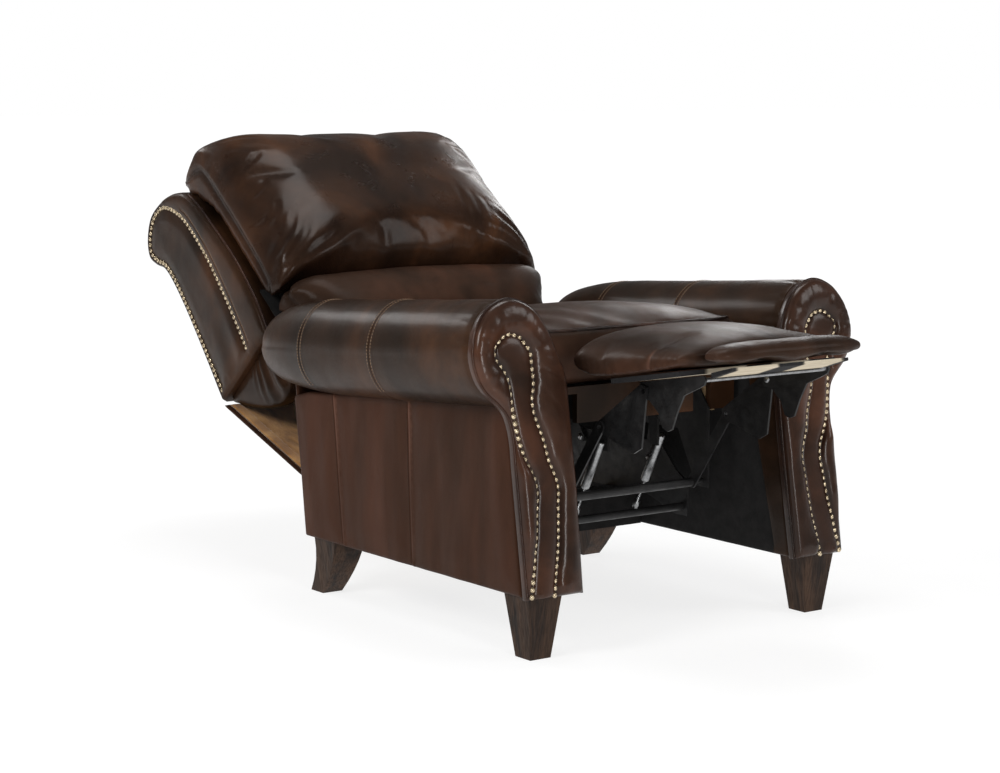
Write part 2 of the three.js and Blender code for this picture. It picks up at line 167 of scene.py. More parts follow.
def bell(gap, width):
    return np.exp(-(np.asarray(gap) / width) ** 2)


def lumps(points, scale, seed=0.0):
    """Smooth noise from -1 to 1 at each point."""
    shift = Vector((seed, seed * 1.7, -seed))
    return np.array([noise.noise(Vector(p) * scale + shift) for p in points])


def waves(uv, scale, seed=0.0, u=1.0, v=1.0):
    """Smooth noise over a flat outline, finer along u or v where they are above 1."""
    return lumps(np.column_stack([uv[:, 0] * u, uv[:, 1] * v, uv[:, 0] * 0]), scale, seed)


def stations(half, count):
    """Places across the chair from -half to half, closer together towards the ends."""
    return np.sin(np.linspace(-math.pi / 2, math.pi / 2, count)) * half


def fullness(half, x, reach):
    """1 in the middle of a cushion, falling in a quarter circle to 0 over its last reach."""
    return math.sqrt(1 - (1 - min(1, (half - abs(x)) / reach)) ** 2)


def at_x(x, ring):
    """An outline in [y, z] as points at x."""
    return np.column_stack([np.full(len(ring), x), ring])


# ---- meshes ------------------------------------------------------------------
def volume(points, faces):
    corners = np.array([(face[0], b, c) for face in faces for b, c in zip(face[1:], face[2:])])
    a, b, c = (points[corners[:, k]] for k in range(3))
    return np.einsum("ij,ij->", a, np.cross(b, c))


def make(name, points, faces, material, rub_and_painted_shade=None):
    """A smooth closed mesh with its faces pointing out, from chair coordinates."""
    points = np.asarray(points, float)
    faces = [tuple(int(i) for i in face) for face in faces]
    if volume(points - points.mean(0), faces) < 0:
        faces = [face[::-1] for face in faces]
    mesh = bpy.data.meshes.new(name)
    mesh.from_pydata([(x, y + FRONT, z) for x, y, z in points], [], faces)
    mesh.update()
    mesh.materials.append(material)
    mesh.shade_smooth()
    piece = bpy.data.objects.new(name, mesh)
    scene.collection.objects.link(piece)
    if rub_and_painted_shade is not None:
        paint(piece, rub_and_painted_shade)
    return piece


def paint(piece, rub_and_painted_shade):
    """Writes how rubbed the leather is (above 0) and how much painted shade it takes (below 0) at
    each point.
    """
    layer = piece.data.attributes.get("rub_and_painted_shade")
    layer = layer or piece.data.attributes.new("rub_and_painted_shade", "FLOAT", "POINT")
    layer.data.foreach_set("value", np.asarray(rub_and_painted_shade, np.float32))


def chair_points(piece):
    """The points of a mesh, in chair coordinates."""
    co = np.empty(len(piece.data.vertices) * 3)
    piece.data.vertices.foreach_get("co", co)
    return co.reshape(-1, 3) - (0, FRONT, 0)


def move_points(piece, points):
    piece.data.vertices.foreach_set("co", (points + (0, FRONT, 0)).ravel())
    piece.data.update()


def settle(piece, body, slot, *nodes):
    """The piece rides on a body and may stand for CAD nodes. slot is not used."""
    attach(piece, body)
    if nodes:
        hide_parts(*nodes)
    return piece


def loft(rings):
    """Points and faces of a closed solid through rings with equal numbers of points."""
    count = len(rings[0])
    points = np.vstack(rings)
    faces = []
    for r in range(len(rings) - 1):
        for i in range(count):
            j = (i + 1) % count
            a, b = r * count, (r + 1) * count
            faces.append((a + i, a + j, b + j, b + i))
    last = len(points)
    points = np.vstack([points, rings[0].mean(0), rings[-1].mean(0)])
    top = (len(rings) - 1) * count
    for i in range(count):
        j = (i + 1) % count
        faces.append((j, i, last))
        faces.append((top + i, top + j, last + 1))
    return points, faces


def gather(parts):
    """Several point and face lists as one."""
    points, faces, base = [], [], 0
    for some, shape in parts:
        points.append(some)
        faces += [tuple(i + base for i in face) for face in shape]
        base += len(some)
    return np.vstack(points), faces


def tube(path, radius, sides=8, closed=False):
    """Points and faces of a round cord along a path."""
    path = np.asarray(path, float)
    ahead = np.roll(path, -1, 0) - np.roll(path, 1, 0)
    if not closed:
        ahead[0], ahead[-1] = path[1] - path[0], path[-1] - path[-2]
    ahead /= np.linalg.norm(ahead, axis=1)[:, None]
    up = np.cross(ahead[0], (0.13, 0.31, 0.94))
    rings = []
    for point, way in zip(path, ahead):
        up = up - way * (up @ way)
        up /= np.linalg.norm(up)
        across = np.cross(way, up)
        turn = np.linspace(0, 2 * math.pi, sides, endpoint=False)[:, None]
        rings.append(point + radius * (np.cos(turn) * up + np.sin(turn) * across))
    if not closed:
        return loft(rings)
    points, faces = np.vstack(rings), []
    for r in range(len(rings)):
        a, b = r * sides, (r + 1) % len(rings) * sides
        faces += [(a + i, a + (i + 1) % sides, b + (i + 1) % sides, b + i) for i in range(sides)]
    return points, faces


def dome(spot, way, radius, height, sides=12):
    """Points and faces of a round-headed stud, its rim sunk a little in the surface."""
    way = np.asarray(way, float) / np.linalg.norm(way)
    side = np.cross(way, (0.31, 0.17, 0.93))
    side /= np.linalg.norm(side)
    other = np.cross(way, side)
    turn = np.linspace(0, 2 * math.pi, sides, endpoint=False)[:, None]
    circle = np.cos(turn) * side + np.sin(turn) * other
    rings = [spot - way * 0.4 * height + circle * radius * 0.8]
    for lift in (0, 30, 55, 76):
        angle = math.radians(lift)
        rings.append(spot + way * height * math.sin(angle) + circle * radius * math.cos(angle))
    return loft(rings)


def studs(name, spots, way, radius, height, material):
    """Nail heads or rivets as one mesh of separate solids, none quite in line."""
    parts = []
    for spot in spots:
        tip = np.asarray(way, float) + [random.uniform(-0.08, 0.08) for _ in range(3)]
        parts.append(dome(spot, tip, radius * random.uniform(0.96, 1.04), height))
    return make(name, *gather(parts), material)


def stitches(name, paths, material, pitch=0.0062, length=0.0041, radius=0.00062):
    """Rows of thread stitches along paths, as one mesh of small spindles."""
    parts = []
    for path in paths:
        ends = even(path, pitch)
        for a, b in zip(ends, ends[1:]):
            way = (b - a) / np.linalg.norm(b - a)
            centre = (a + b) / 2
            side = np.cross(way, (0.3, 0.2, 0.9))
            side /= np.linalg.norm(side)
            other = np.cross(way, side)
            rings = []
            for t, fat in ((-1, 0.25), (-0.7, 0.9), (0, 1.05), (0.7, 0.9), (1, 0.25)):
                turn = np.linspace(0, 2 * math.pi, 6, endpoint=False)[:, None]
                rings.append(centre + way * t * length / 2
                             + radius * fat * (np.cos(turn) * side + np.sin(turn) * other))
            parts.append(loft(rings))
    return make(name, *gather(parts), material)


class Panel:
    """A padded panel: an outline in [u, v], its height at each point and its place in space."""

    def __init__(self, outline, place, height, depth, lines=(), step=0.008):
        self.rim, self.place, self.height = np.asarray(outline, float), place, height
        self.depth, self.lines, self.step = depth, lines, step

    def lift(self, uv):
        return self.height(uv, distance(uv, self.rim, True))

    def at(self, uv, above=0.0):
        uv = np.asarray(uv, float)
        return self.place(uv, self.lift(uv) + above)

    def seeds(self):
        """The rim, rows just inside it, rows along each seam, and an even grid between."""
        rim = self.rim
        ahead = np.roll(rim, -1, 0) - np.roll(rim, 1, 0)
        inward = np.stack([-ahead[:, 1], ahead[:, 0]], 1)
        inward /= np.linalg.norm(inward, axis=1)[:, None]
        if not inside((rim + inward * 0.002)[::9], rim).mean() > 0.5:
            inward = -inward
        rows = []
        for gap in (0.0008, 0.0024, 0.005, 0.0085):
            row = rim + inward * gap
            rows.append(row[distance(row, rim, True) > gap * 0.9])
        for line in self.lines:
            path = even(line, self.step * 0.75)
            way = np.gradient(path, axis=0)
            away = np.stack([-way[:, 1], way[:, 0]], 1)
            away /= np.linalg.norm(away, axis=1)[:, None]
            for gap in (-0.0055, -0.0025, 0, 0.0025, 0.0055):
                row = path + away * gap
                keep = inside(row, rim) & (distance(row, rim, True) > 0.0012)
                rows.append(row[keep])
        low, high = rim.min(0), rim.max(0)
        u = np.arange(low[0], high[0], self.step)
        v = np.arange(low[1], high[1], self.step * 0.866)
        grid = np.array([(a + (k % 2) * self.step / 2, b) for k, b in enumerate(v) for a in u])
        grid = grid[inside(grid, rim)]
        grid = grid[distance(grid, rim, True) > 0.0085 + self.step * 0.5]
        for line in self.lines:
            grid = grid[distance(grid, line) > 0.0055 + self.step * 0.4]
        return np.vstack([rim, *[row for row in rows if len(row)], grid])

    def mesh(self, name, material, back=None, rub_and_painted_shade=None):
        """The closed panel. back gives the depth of its far face, and the last argument how rubbed
        the leather is and where painted shade lies on it.
        """
        seeds = self.seeds()
        count = len(self.rim)
        edges = [(i, (i + 1) % count) for i in range(count)]
        found = delaunay_2d_cdt([Vector(p) for p in seeds], edges, [], 1, 1e-6)
        uv = np.array([tuple(v) for v in found[0]])
        faces = [tuple(f) for f in found[2]]
        gap = distance(uv, self.rim, True)
        front = self.place(uv, self.height(uv, gap))
        far = -self.depth - rounded(gap, 0.004) if back is None else back(uv, gap)
        rear = self.place(uv, far)
        used = {}
        for face in faces:
            for a, b in zip(face, face[1:] + face[:1]):
                used[(a, b)] = used.get((a, b), 0) + 1
        wall = [(b, a) for a, b in used if (b, a) not in used]
        shift = len(uv)
        whole = faces + [tuple(i + shift for i in face[::-1]) for face in faces]
        whole += [(a, b, b + shift, a + shift) for a, b in wall]
        shade = None if rub_and_painted_shade is None else np.tile(rub_and_painted_shade(uv, gap), 2)
        return make(name, np.vstack([front, rear]), whole, material, shade)


# ---- padding -----------------------------------------------------------------
def bake(piece):
    """Applies the piece's modifiers."""
    graph = bpy.context.evaluated_depsgraph_get()
    mesh = bpy.data.meshes.new_from_object(piece.evaluated_get(graph))
    old = piece.data
    piece.modifiers.clear()
    piece.data = mesh
    bpy.data.meshes.remove(old)
    mesh.name = piece.name
    mesh.shade_smooth()


def soften(piece):
    rounder = piece.modifiers.new("Soft", "SUBSURF")
    rounder.levels = rounder.render_levels = 1


def relax(piece, rounds):
    """Evens the mesh out a little."""
    smoother = piece.modifiers.new("Even", "SMOOTH")
    smoother.factor = 0.5
    smoother.iterations = rounds
    bake(piece)


def stuff(piece, held, voxel, pressure, cap):
    """Blows a sewn cover up over its filling, by no more than cap in metres. held gives 1 where
    the cover can't move."""
    remesh = piece.modifiers.new("Voxels", "REMESH")
    remesh.mode = "VOXEL"
    remesh.voxel_size = voxel
    bake(piece)
    relax(piece, 3)
    before = chair_points(piece)
    weight = np.clip(held(before), 0, 1)
    group = piece.vertex_groups.new(name="held")
    for index in np.nonzero(weight > 0.01)[0]:
        group.add([int(index)], float(weight[index]), "REPLACE")
    cloth = piece.modifiers.new("Cloth", "CLOTH")
    cloth.settings.quality = 4
    cloth.settings.vertex_group_mass = group.name
    cloth.settings.pin_stiffness = 1.0
    cloth.settings.use_pressure = True
    cloth.settings.uniform_pressure_force = pressure
    cloth.settings.shrink_min = 0.0
    cloth.settings.bending_stiffness = 3.0
    cloth.settings.effector_weights.gravity = 0
    cloth.collision_settings.use_collision = False
    cloth.point_cache.frame_start, cloth.point_cache.frame_end = 1, 20
    for step in range(1, 21):
        scene.frame_set(step)
    bake(piece)
    piece.vertex_groups.clear()
    scene.frame_set(1)
    moved = chair_points(piece) - before
    size = np.linalg.norm(moved, axis=1)
    soft = cap * np.tanh(size / cap) / np.maximum(size, 1e-9)
    move_points(piece, before + moved * soft[:, None])
    relax(piece, 2)


def normals(piece):
    out = np.empty(len(piece.data.vertices) * 3)
    piece.data.vertices.foreach_get("normal", out)
    return out.reshape(-1, 3)


def press(piece, points, depth):
    """Puts the piece's points at these places, each pressed in along its normal by depth."""
    move_points(piece, points - normals(piece) * depth[:, None])


# ---- materials ---------------------------------------------------------------
class Shader:
    """A procedural material in the piece's own coordinates."""

    def __init__(self, name, **sockets):
        self.material = bpy.data.materials.new(name)
        self.material.use_nodes = True
        self.tree = self.material.node_tree
        self.surface = self.tree.nodes["Principled BSDF"]
        self.place = self.node("ShaderNodeTexCoord").outputs["Object"]
        for socket, value in sockets.items():
            self.surface.inputs[socket.replace("_", " ")].default_value = value

    def node(self, kind, **settings):
        made = self.tree.nodes.new(kind)
        for key, value in settings.items():
            setattr(made, key, value)
        return made

    def join(self, source, socket):
        if hasattr(source, "is_output"):
            self.tree.links.new(source, socket)
        else:
            socket.default_value = source

    def stretched(self, stretch):
        if stretch == (1, 1, 1):
            return self.place
        mapping = self.node("ShaderNodeMapping")
        mapping.inputs["Scale"].default_value = stretch
        self.join(self.place, mapping.inputs["Vector"])
        return mapping.outputs["Vector"]

    def noise(self, scale, detail=3.0, stretch=(1, 1, 1), warp=0.0, rough=0.55):
        made = self.node("ShaderNodeTexNoise")
        self.join(self.stretched(stretch), made.inputs["Vector"])
        for key, value in (("Scale", scale), ("Detail", detail), ("Roughness", rough),
                           ("Distortion", warp)):
            made.inputs[key].default_value = value
        return made.outputs["Fac"]

    def cells(self, scale):
        made = self.node("ShaderNodeTexVoronoi", feature="DISTANCE_TO_EDGE")
        self.join(self.place, made.inputs["Vector"])
        made.inputs["Scale"].default_value = scale
        return made.outputs["Distance"]

    def ramp(self, value, *stops):
        """Stops are (place, number or colour)."""
        made = self.node("ShaderNodeValToRGB")
        elements = made.color_ramp.elements
        while len(elements) < len(stops):
            elements.new(0.5)
        for element, (at, colour) in zip(elements, stops):
            element.position = at
            flat = isinstance(colour, (int, float))
            element.color = (colour, colour, colour, 1) if flat else (*colour, 1)
        self.join(value, made.inputs["Fac"])
        return made.outputs["Color"]

    def mix(self, amount, a, b, how="MIX"):
        made = self.node("ShaderNodeMix", data_type="RGBA", blend_type=how)
        self.join(amount, made.inputs[0])
        for source, index in ((a, 6), (b, 7)):
            flat = not hasattr(source, "is_output")
            self.join((*source, 1) if flat else source, made.inputs[index])
        return made.outputs[2]

    def sum(self, a, b, how="ADD"):
        made = self.node("ShaderNodeMath", operation=how)
        self.join(a, made.inputs[0])
        self.join(b, made.inputs[1])
        return made.outputs[0]

    def bump(self, height, depth, under=None):
        made = self.node("ShaderNodeBump")
        made.inputs["Distance"].default_value = depth
        self.join(height, made.inputs["Height"])
        if under is not None:
            self.join(under, made.inputs["Normal"])
        return made.outputs["Normal"]

    # The per-point attribute: how rubbed the leather is (above 0) and its painted shade (below 0).
    def rub_and_shade_attribute(self):
        return self.node("ShaderNodeAttribute", attribute_name="rub_and_painted_shade").outputs["Fac"]

    def done(self, colour, rough, normal):
        for source, socket in ((colour, "Base Color"), (rough, "Roughness"), (normal, "Normal")):
            self.join(source, self.surface.inputs[socket])
        return self.material


def leather(name, dark, middle_tone, light, rough, creases, streak=(1, 1, 1), shine=0.3):
    """Antiqued leather: cloudy colour, rubbed places, painted shade, fine grain and small creases.
    """
    s = Shader(name, Coat_Weight=shine, Coat_Roughness=0.2, Coat_IOR=1.5,
               Specular_IOR_Level=0.09, Specular_Tint=(1.0, 0.60, 0.38, 1.0))
    clouds = s.noise(5.5, 4, streak, 0.5, 0.55)
    colour = s.ramp(clouds, (0.34, dark), (0.5, middle_tone), (0.68, light))
    veins = s.noise(30, 4, streak, 0.3, 0.6)
    colour = s.mix(0.5, colour, s.ramp(veins, (0.35, 0.72), (0.65, 1.1)), "MULTIPLY")
    rub_and_shade_attribute = s.rub_and_shade_attribute()
    rubbed = s.sum(rub_and_shade_attribute, s.ramp(s.noise(24, 4), (0.3, 0.6), (0.7, 1.0)), "MULTIPLY")
    rubbed_colour = tuple(min(1.0, c * 2.6 + 0.02) for c in light)
    colour = s.mix(s.sum(rubbed, 0.0, "MAXIMUM"), colour, rubbed_colour)
    # Below 0 the attribute is painted shade: the colour is darkened towards a quarter of the dark
    # colour.
    shade = s.sum(s.sum(rub_and_shade_attribute, -1.0, "MULTIPLY"), 0.0, "MAXIMUM")
    colour = s.mix(shade, colour, tuple(c * 0.25 for c in dark))
    pores = s.ramp(s.cells(520), (0.0, 0.0), (0.12, 0.8), (0.4, 1.0))
    fine = s.sum(pores, s.sum(s.noise(900, 2), 0.5, "MULTIPLY"))
    crinkle = s.noise(60, 4, streak, 0.0, 0.6)
    folds = s.noise(14, 3, streak, 0.0, 0.5)
    normal = s.bump(folds, 0.0012 * creases)
    normal = s.bump(crinkle, 0.00035 * creases, normal)
    normal = s.bump(fine, 0.00012, normal)
    low, high = rough
    gloss = s.ramp(s.noise(19, 4, streak, 0.3), (0.35, low), (0.65, high))
    return s.done(colour, gloss, normal)


def plain_cloth(name, dark, light, threads, rough=0.92, depth=0.0004):
    """Woven cloth: crossed threads, and a slow change in colour."""
    s = Shader(name, Sheen_Weight=0.05, Sheen_Roughness=0.6, Specular_IOR_Level=0.1)
    colour = s.ramp(s.noise(30, 4), (0.35, dark), (0.65, light))
    across = s.noise(threads, 2, (1, 0.12, 0.12))
    along = s.noise(threads, 2, (0.12, 1, 1))
    weave = s.sum(across, along)
    colour = s.mix(0.5, colour, s.ramp(weave, (0.7, 0.55), (1.2, 1.0)), "MULTIPLY")
    return s.done(colour, s.ramp(weave, (0.7, rough), (1.2, rough - 0.1)), s.bump(weave, depth))


def suede(name, dark, middle_tone, light):
    """Napped lining, with the nap brushed this way and that."""
    s = Shader(name, Sheen_Weight=0.5, Sheen_Roughness=0.45, Specular_IOR_Level=0.15)
    nap = s.noise(14, 5, (1, 0.5, 1), 1.6, 0.6)
    colour = s.ramp(nap, (0.3, dark), (0.5, middle_tone), (0.7, light))
    fuzz = s.noise(600, 3)
    colour = s.mix(0.4, colour, s.ramp(fuzz, (0.3, 0.6), (0.7, 1.0)), "MULTIPLY")
    normal = s.bump(fuzz, 0.0004, s.bump(nap, 0.002))
    return s.done(colour, s.ramp(nap, (0.3, 0.95), (0.7, 0.8)), normal)


def timber(name, dark, light, grain, rough, stretch):
    """Straight-grained wood. stretch is small along the grain."""
    s = Shader(name, Specular_IOR_Level=0.2)
    rings = s.noise(grain, 5, stretch, 1.0, 0.6)
    pores = s.noise(grain * 9, 3, stretch)
    colour = s.ramp(rings, (0.36, dark), (0.5, tuple((a + b) / 2 for a, b in zip(dark, light))),
                    (0.66, light))
    colour = s.mix(0.6, colour, s.ramp(pores, (0.38, 0.45), (0.55, 1.0)), "MULTIPLY")
    normal = s.bump(pores, 0.0004, s.bump(rings, 0.0006))
    return s.done(colour, s.ramp(pores, (0.35, rough + 0.15), (0.6, rough)), normal)


def wrapped_board(dark, light):
    """Pale plywood under a black cover that is cut away in two places across the chair."""
    s = Shader("wrapped_board", Specular_IOR_Level=0.25)
    grain = s.noise(20, 5, (0.1, 1, 1), 1.0)
    wood = s.ramp(grain, (0.35, dark), (0.65, light))
    split = s.node("ShaderNodeSeparateXYZ")
    s.join(s.place, split.inputs[0])
    offset = s.sum(s.sum(s.sum(split.outputs["X"], 0.0, "ABSOLUTE"), -0.078), 0.0, "ABSOLUTE")
    ragged = s.sum(offset, s.sum(s.noise(60, 3), 0.012, "MULTIPLY"))
    bare = s.ramp(ragged, (0.050, 1.0), (0.056, 0.0))
    cloth = s.ramp(s.noise(700, 2), (0.4, (0.008, 0.008, 0.009)), (0.6, (0.02, 0.019, 0.02)))
    return s.done(s.mix(bare, cloth, wood), s.ramp(grain, (0.3, 0.85), (0.7, 0.7)),
                  s.bump(grain, 0.0004))


def painted_steel(name):
    """Black mechanism steel: satin paint, dust and faint rolling marks."""
    s = Shader(name, Metallic=0.2, Specular_IOR_Level=0.4)
    dust = s.noise(28, 6, (1, 1, 1), 0.3, 0.65)
    colour = s.ramp(dust, (0.35, (0.007, 0.007, 0.0075)), (0.62, (0.016, 0.0155, 0.0155)),
                    (0.8, (0.045, 0.042, 0.039)))
    marks = s.noise(260, 3, (1, 0.15, 1))
    rough = s.ramp(s.noise(60, 4), (0.35, 0.34), (0.7, 0.6))
    return s.done(colour, rough, s.bump(marks, 0.00025, s.bump(s.noise(900, 2), 0.0001)))


def bare_metal(name, dark, light, rough, scale=140):
    """Plated or brass metal, tarnished in the low places."""
    s = Shader(name, Metallic=1.0, Specular_IOR_Level=0.5)
    tarnish = s.noise(scale, 4, (1, 1, 1), 0.4, 0.6)
    colour = s.ramp(tarnish, (0.3, dark), (0.6, light))
    low, high = rough
    gloss = s.ramp(tarnish, (0.3, high), (0.7, low))
    return s.done(colour, gloss, s.bump(s.noise(scale * 6, 3), 0.0003))


def floor_finish():
    """White paper that glows a little more with distance, so that no horizon shows."""
    s = Shader("studio_floor", Specular_IOR_Level=0.0, Emission_Color=(1, 1, 1, 1))
    colour = s.ramp(s.noise(3, 4), (0.3, (0.27, 0.27, 0.27)), (0.7, (0.30, 0.30, 0.30)))
    reach = s.node("ShaderNodeVectorMath", operation="LENGTH")
    s.join(s.place, reach.inputs[0])
    s.join(s.ramp(s.sum(reach.outputs["Value"], 0.1, "MULTIPLY"), (0.10, 0.80), (0.6, 1.0)),
           s.surface.inputs["Emission Strength"])
    return s.done(colour, 0.85, s.bump(s.noise(400, 2), 0.0001))


ARM_HIDE = leather("arm_leather", (0.012, 0.0062, 0.0032), (0.026, 0.0124, 0.0064),
                   (0.060, 0.0250, 0.0112), (0.30, 0.42), 0.3, shine=0.13)
FACING_HIDE = leather("facing_leather", (0.016, 0.0076, 0.0048), (0.034, 0.0145, 0.0085),
                      (0.078, 0.030, 0.016), (0.28, 0.40), 0.25, shine=0.45)
PANEL_HIDE = leather("panel_leather", (0.030, 0.0140, 0.0084), (0.048, 0.0206, 0.0122),
                     (0.068, 0.0268, 0.0156), (0.44, 0.56), 0.3, (1, 1, 0.22), 0.0)
CUSHION_HIDE = leather("cushion_leather", (0.011, 0.0052, 0.0032), (0.028, 0.0124, 0.0066),
                       (0.070, 0.0280, 0.0120), (0.26, 0.38), 0.35, shine=0.20)
SEAT_HIDE = leather("seat_leather", (0.017, 0.0095, 0.0065), (0.034, 0.0175, 0.0112),
                    (0.064, 0.028, 0.017), (0.36, 0.50), 0.4, (1, 0.4, 1), 0.05)
WELT_HIDE = leather("welt_leather", (0.010, 0.006, 0.005), (0.024, 0.012, 0.009),
                    (0.06, 0.026, 0.016), (0.2, 0.3), 0.2)
THREAD = plain_cloth("tan_thread", (0.20, 0.12, 0.075), (0.36, 0.24, 0.15), 2500, 0.7, 0.0001)
DARK_THREAD = plain_cloth("dark_thread", (0.02, 0.012, 0.009), (0.06, 0.035, 0.022), 2500, 0.6,
                          0.0001)
SUEDE = suede("tan_suede", (0.30, 0.128, 0.030), (0.50, 0.235, 0.062), (0.70, 0.38, 0.125))
DUST_CLOTH = plain_cloth("dust_cloth", (0.004, 0.0037, 0.0036), (0.010, 0.009, 0.009), 900)
WALNUT = timber("walnut", (0.014, 0.0070, 0.0040), (0.058, 0.029, 0.015), 34, 0.5,
                (1, 1, 0.05))
FRAME_WOOD = timber("frame_wood", (0.30, 0.19, 0.10), (0.52, 0.36, 0.20), 26, 0.7, (0.08, 1, 1))
WRAPPED_BOARD = wrapped_board((0.50, 0.42, 0.30), (0.74, 0.66, 0.52))
STEEL = painted_steel("black_steel")
WORN_EDGE = bare_metal("worn_steel_edge", (0.16, 0.155, 0.15), (0.55, 0.54, 0.52), (0.3, 0.5))
ZINC = bare_metal("zinc", (0.20, 0.20, 0.205), (0.34, 0.345, 0.35), (0.26, 0.36))
BRASS = bare_metal("antique_brass", (0.20, 0.14, 0.08), (0.70, 0.58, 0.40), (0.18, 0.34), 260)


# ---- CAD nodes that show as they are -----------------------------------------
def dress(node, material, bevel=0.0, edge=None, segments=2):
    """Gives a CAD node its finish and softly broken edges."""
    piece = frame["nodes"][node]
    piece.data.materials.clear()
    piece.data.materials.append(material)
    if bevel:
        modifier = piece.modifiers.new("Edges", "BEVEL")
        modifier.width = bevel
        modifier.segments = segments
        modifier.limit_method = "ANGLE"
        modifier.angle_limit = math.radians(40)
        modifier.harden_normals = True
        if edge:
            piece.data.materials.append(edge)
            modifier.material = 1
    return piece


def dress_frame():
    for word, _ in SIDES:
        for end in ("front", "rear"):
            dress(f"foot_{end}_{word}", WALNUT, 0.0022, None, 3)
            dress(f"swing_link_{end}_{word}", STEEL, 0.0006, WORN_EDGE)
            dress(f"arm_{end}_post_{word}", FRAME_WOOD, 0.0015)
        for name in ("base_mechanism_plate", "seat_mechanism_plate", "footrest_lower_link",
                     "footrest_upper_link", "footrest_bracket"):
            dress(f"{name}_{word}", STEEL, 0.0007, WORN_EDGE)
        for name in ("seat_side_rail", "back_side_rail"):
            dress(f"{name}_{word}", FRAME_WOOD, 0.0015)
    dress("base_front_rail", DUST_CLOTH, 0.004, None, 3)
    dress("base_rear_rail", FRAME_WOOD, 0.0015)
    dress("base_stretcher", STEEL)
    dress("footrest_torque_tube", STEEL)
    dress("flipper_hinge_rod", ZINC)
    dress("seat_front_rail", DUST_CLOTH, 0.0015)
    dress("seat_deck", DUST_CLOTH, 0.002)
    dress("footrest_board", WRAPPED_BOARD, 0.001)
    dress("flipper_board", WRAPPED_BOARD, 0.001)


# ---- arms --------------------------------------------------------------------
ROLL_X, ROLL_RX, ROLL_RZ = 0.372, 0.085, 0.097
ROLL_Z, ROLL_FALL = 0.556, 0.0685
ROLL_START = 0.0355
ROLL_SEAMS = (0.325, 0.585)
FACING_FOOT = -0.051             # Y of the facing's front at its bottom edge
FACING_DEPTH = 0.022
NAIL = 0.0056                    # radius of an upholstery nail
NAIL_RISE = 0.0036
NAIL_PITCH = 0.0131
OUTER_NAILS = [(.413, .572), (.416, .561), (.413, .548), (.406, .538), (.399, .528), (.392, .513),
               (.389, .492), (.387, .466), (.383, .440), (.377, .404), (.367, .368), (.355, .342),
               (.350, .328), (.348, .302), (.353, .275), (.358, .231), (.364, .203), (.370, .166),
               (.378, .124)]
INNER_NAILS = [(.413, .572), (.402, .582), (.392, .590), (.379, .593), (.369, .591), (.356, .586),
               (.347, .575), (.339, .565), (.335, .553), (.335, .540), (.335, .500), (.341, .474),
               (.339, .449), (.331, .424), (.322, .397), (.316, .365), (.308, .345), (.302, .329),
               (.299, .310), (.302, .283), (.306, .243), (.311, .203), (.319, .164), (.327, .122)]
SCROLL_EDGE = [(.259, .470), (.262, .515), (.276, .552), (.296, .601), (.326, .638), (.372, .655),
               (.417, .640), (.446, .606), (.459, .562), (.453, .522), (.437, .493), (.412, .470),
               (.394, .446), (.386, .405)]


def facing_outline():
    """The facing, from its inner bottom corner up round the scroll and down again."""
    curve = spline([(.2585, .300), *SCROLL_EDGE, (.386, .36)], 0.004)
    corners = [(.263, ARM_BOTTOM), (.2585, .298)], [(.386, .358), (.385, ARM_BOTTOM)]
    left, right = (even(pair, 0.004) for pair in corners)
    base = even([(.385, ARM_BOTTOM), (.263, ARM_BOTTOM)], 0.004)
    return np.vstack([left[:-1], curve, right[1:], base[1:-1]])


def facing_front(z):
    return FACING_FOOT + (z - ARM_BOTTOM) * math.tan(LEAN)


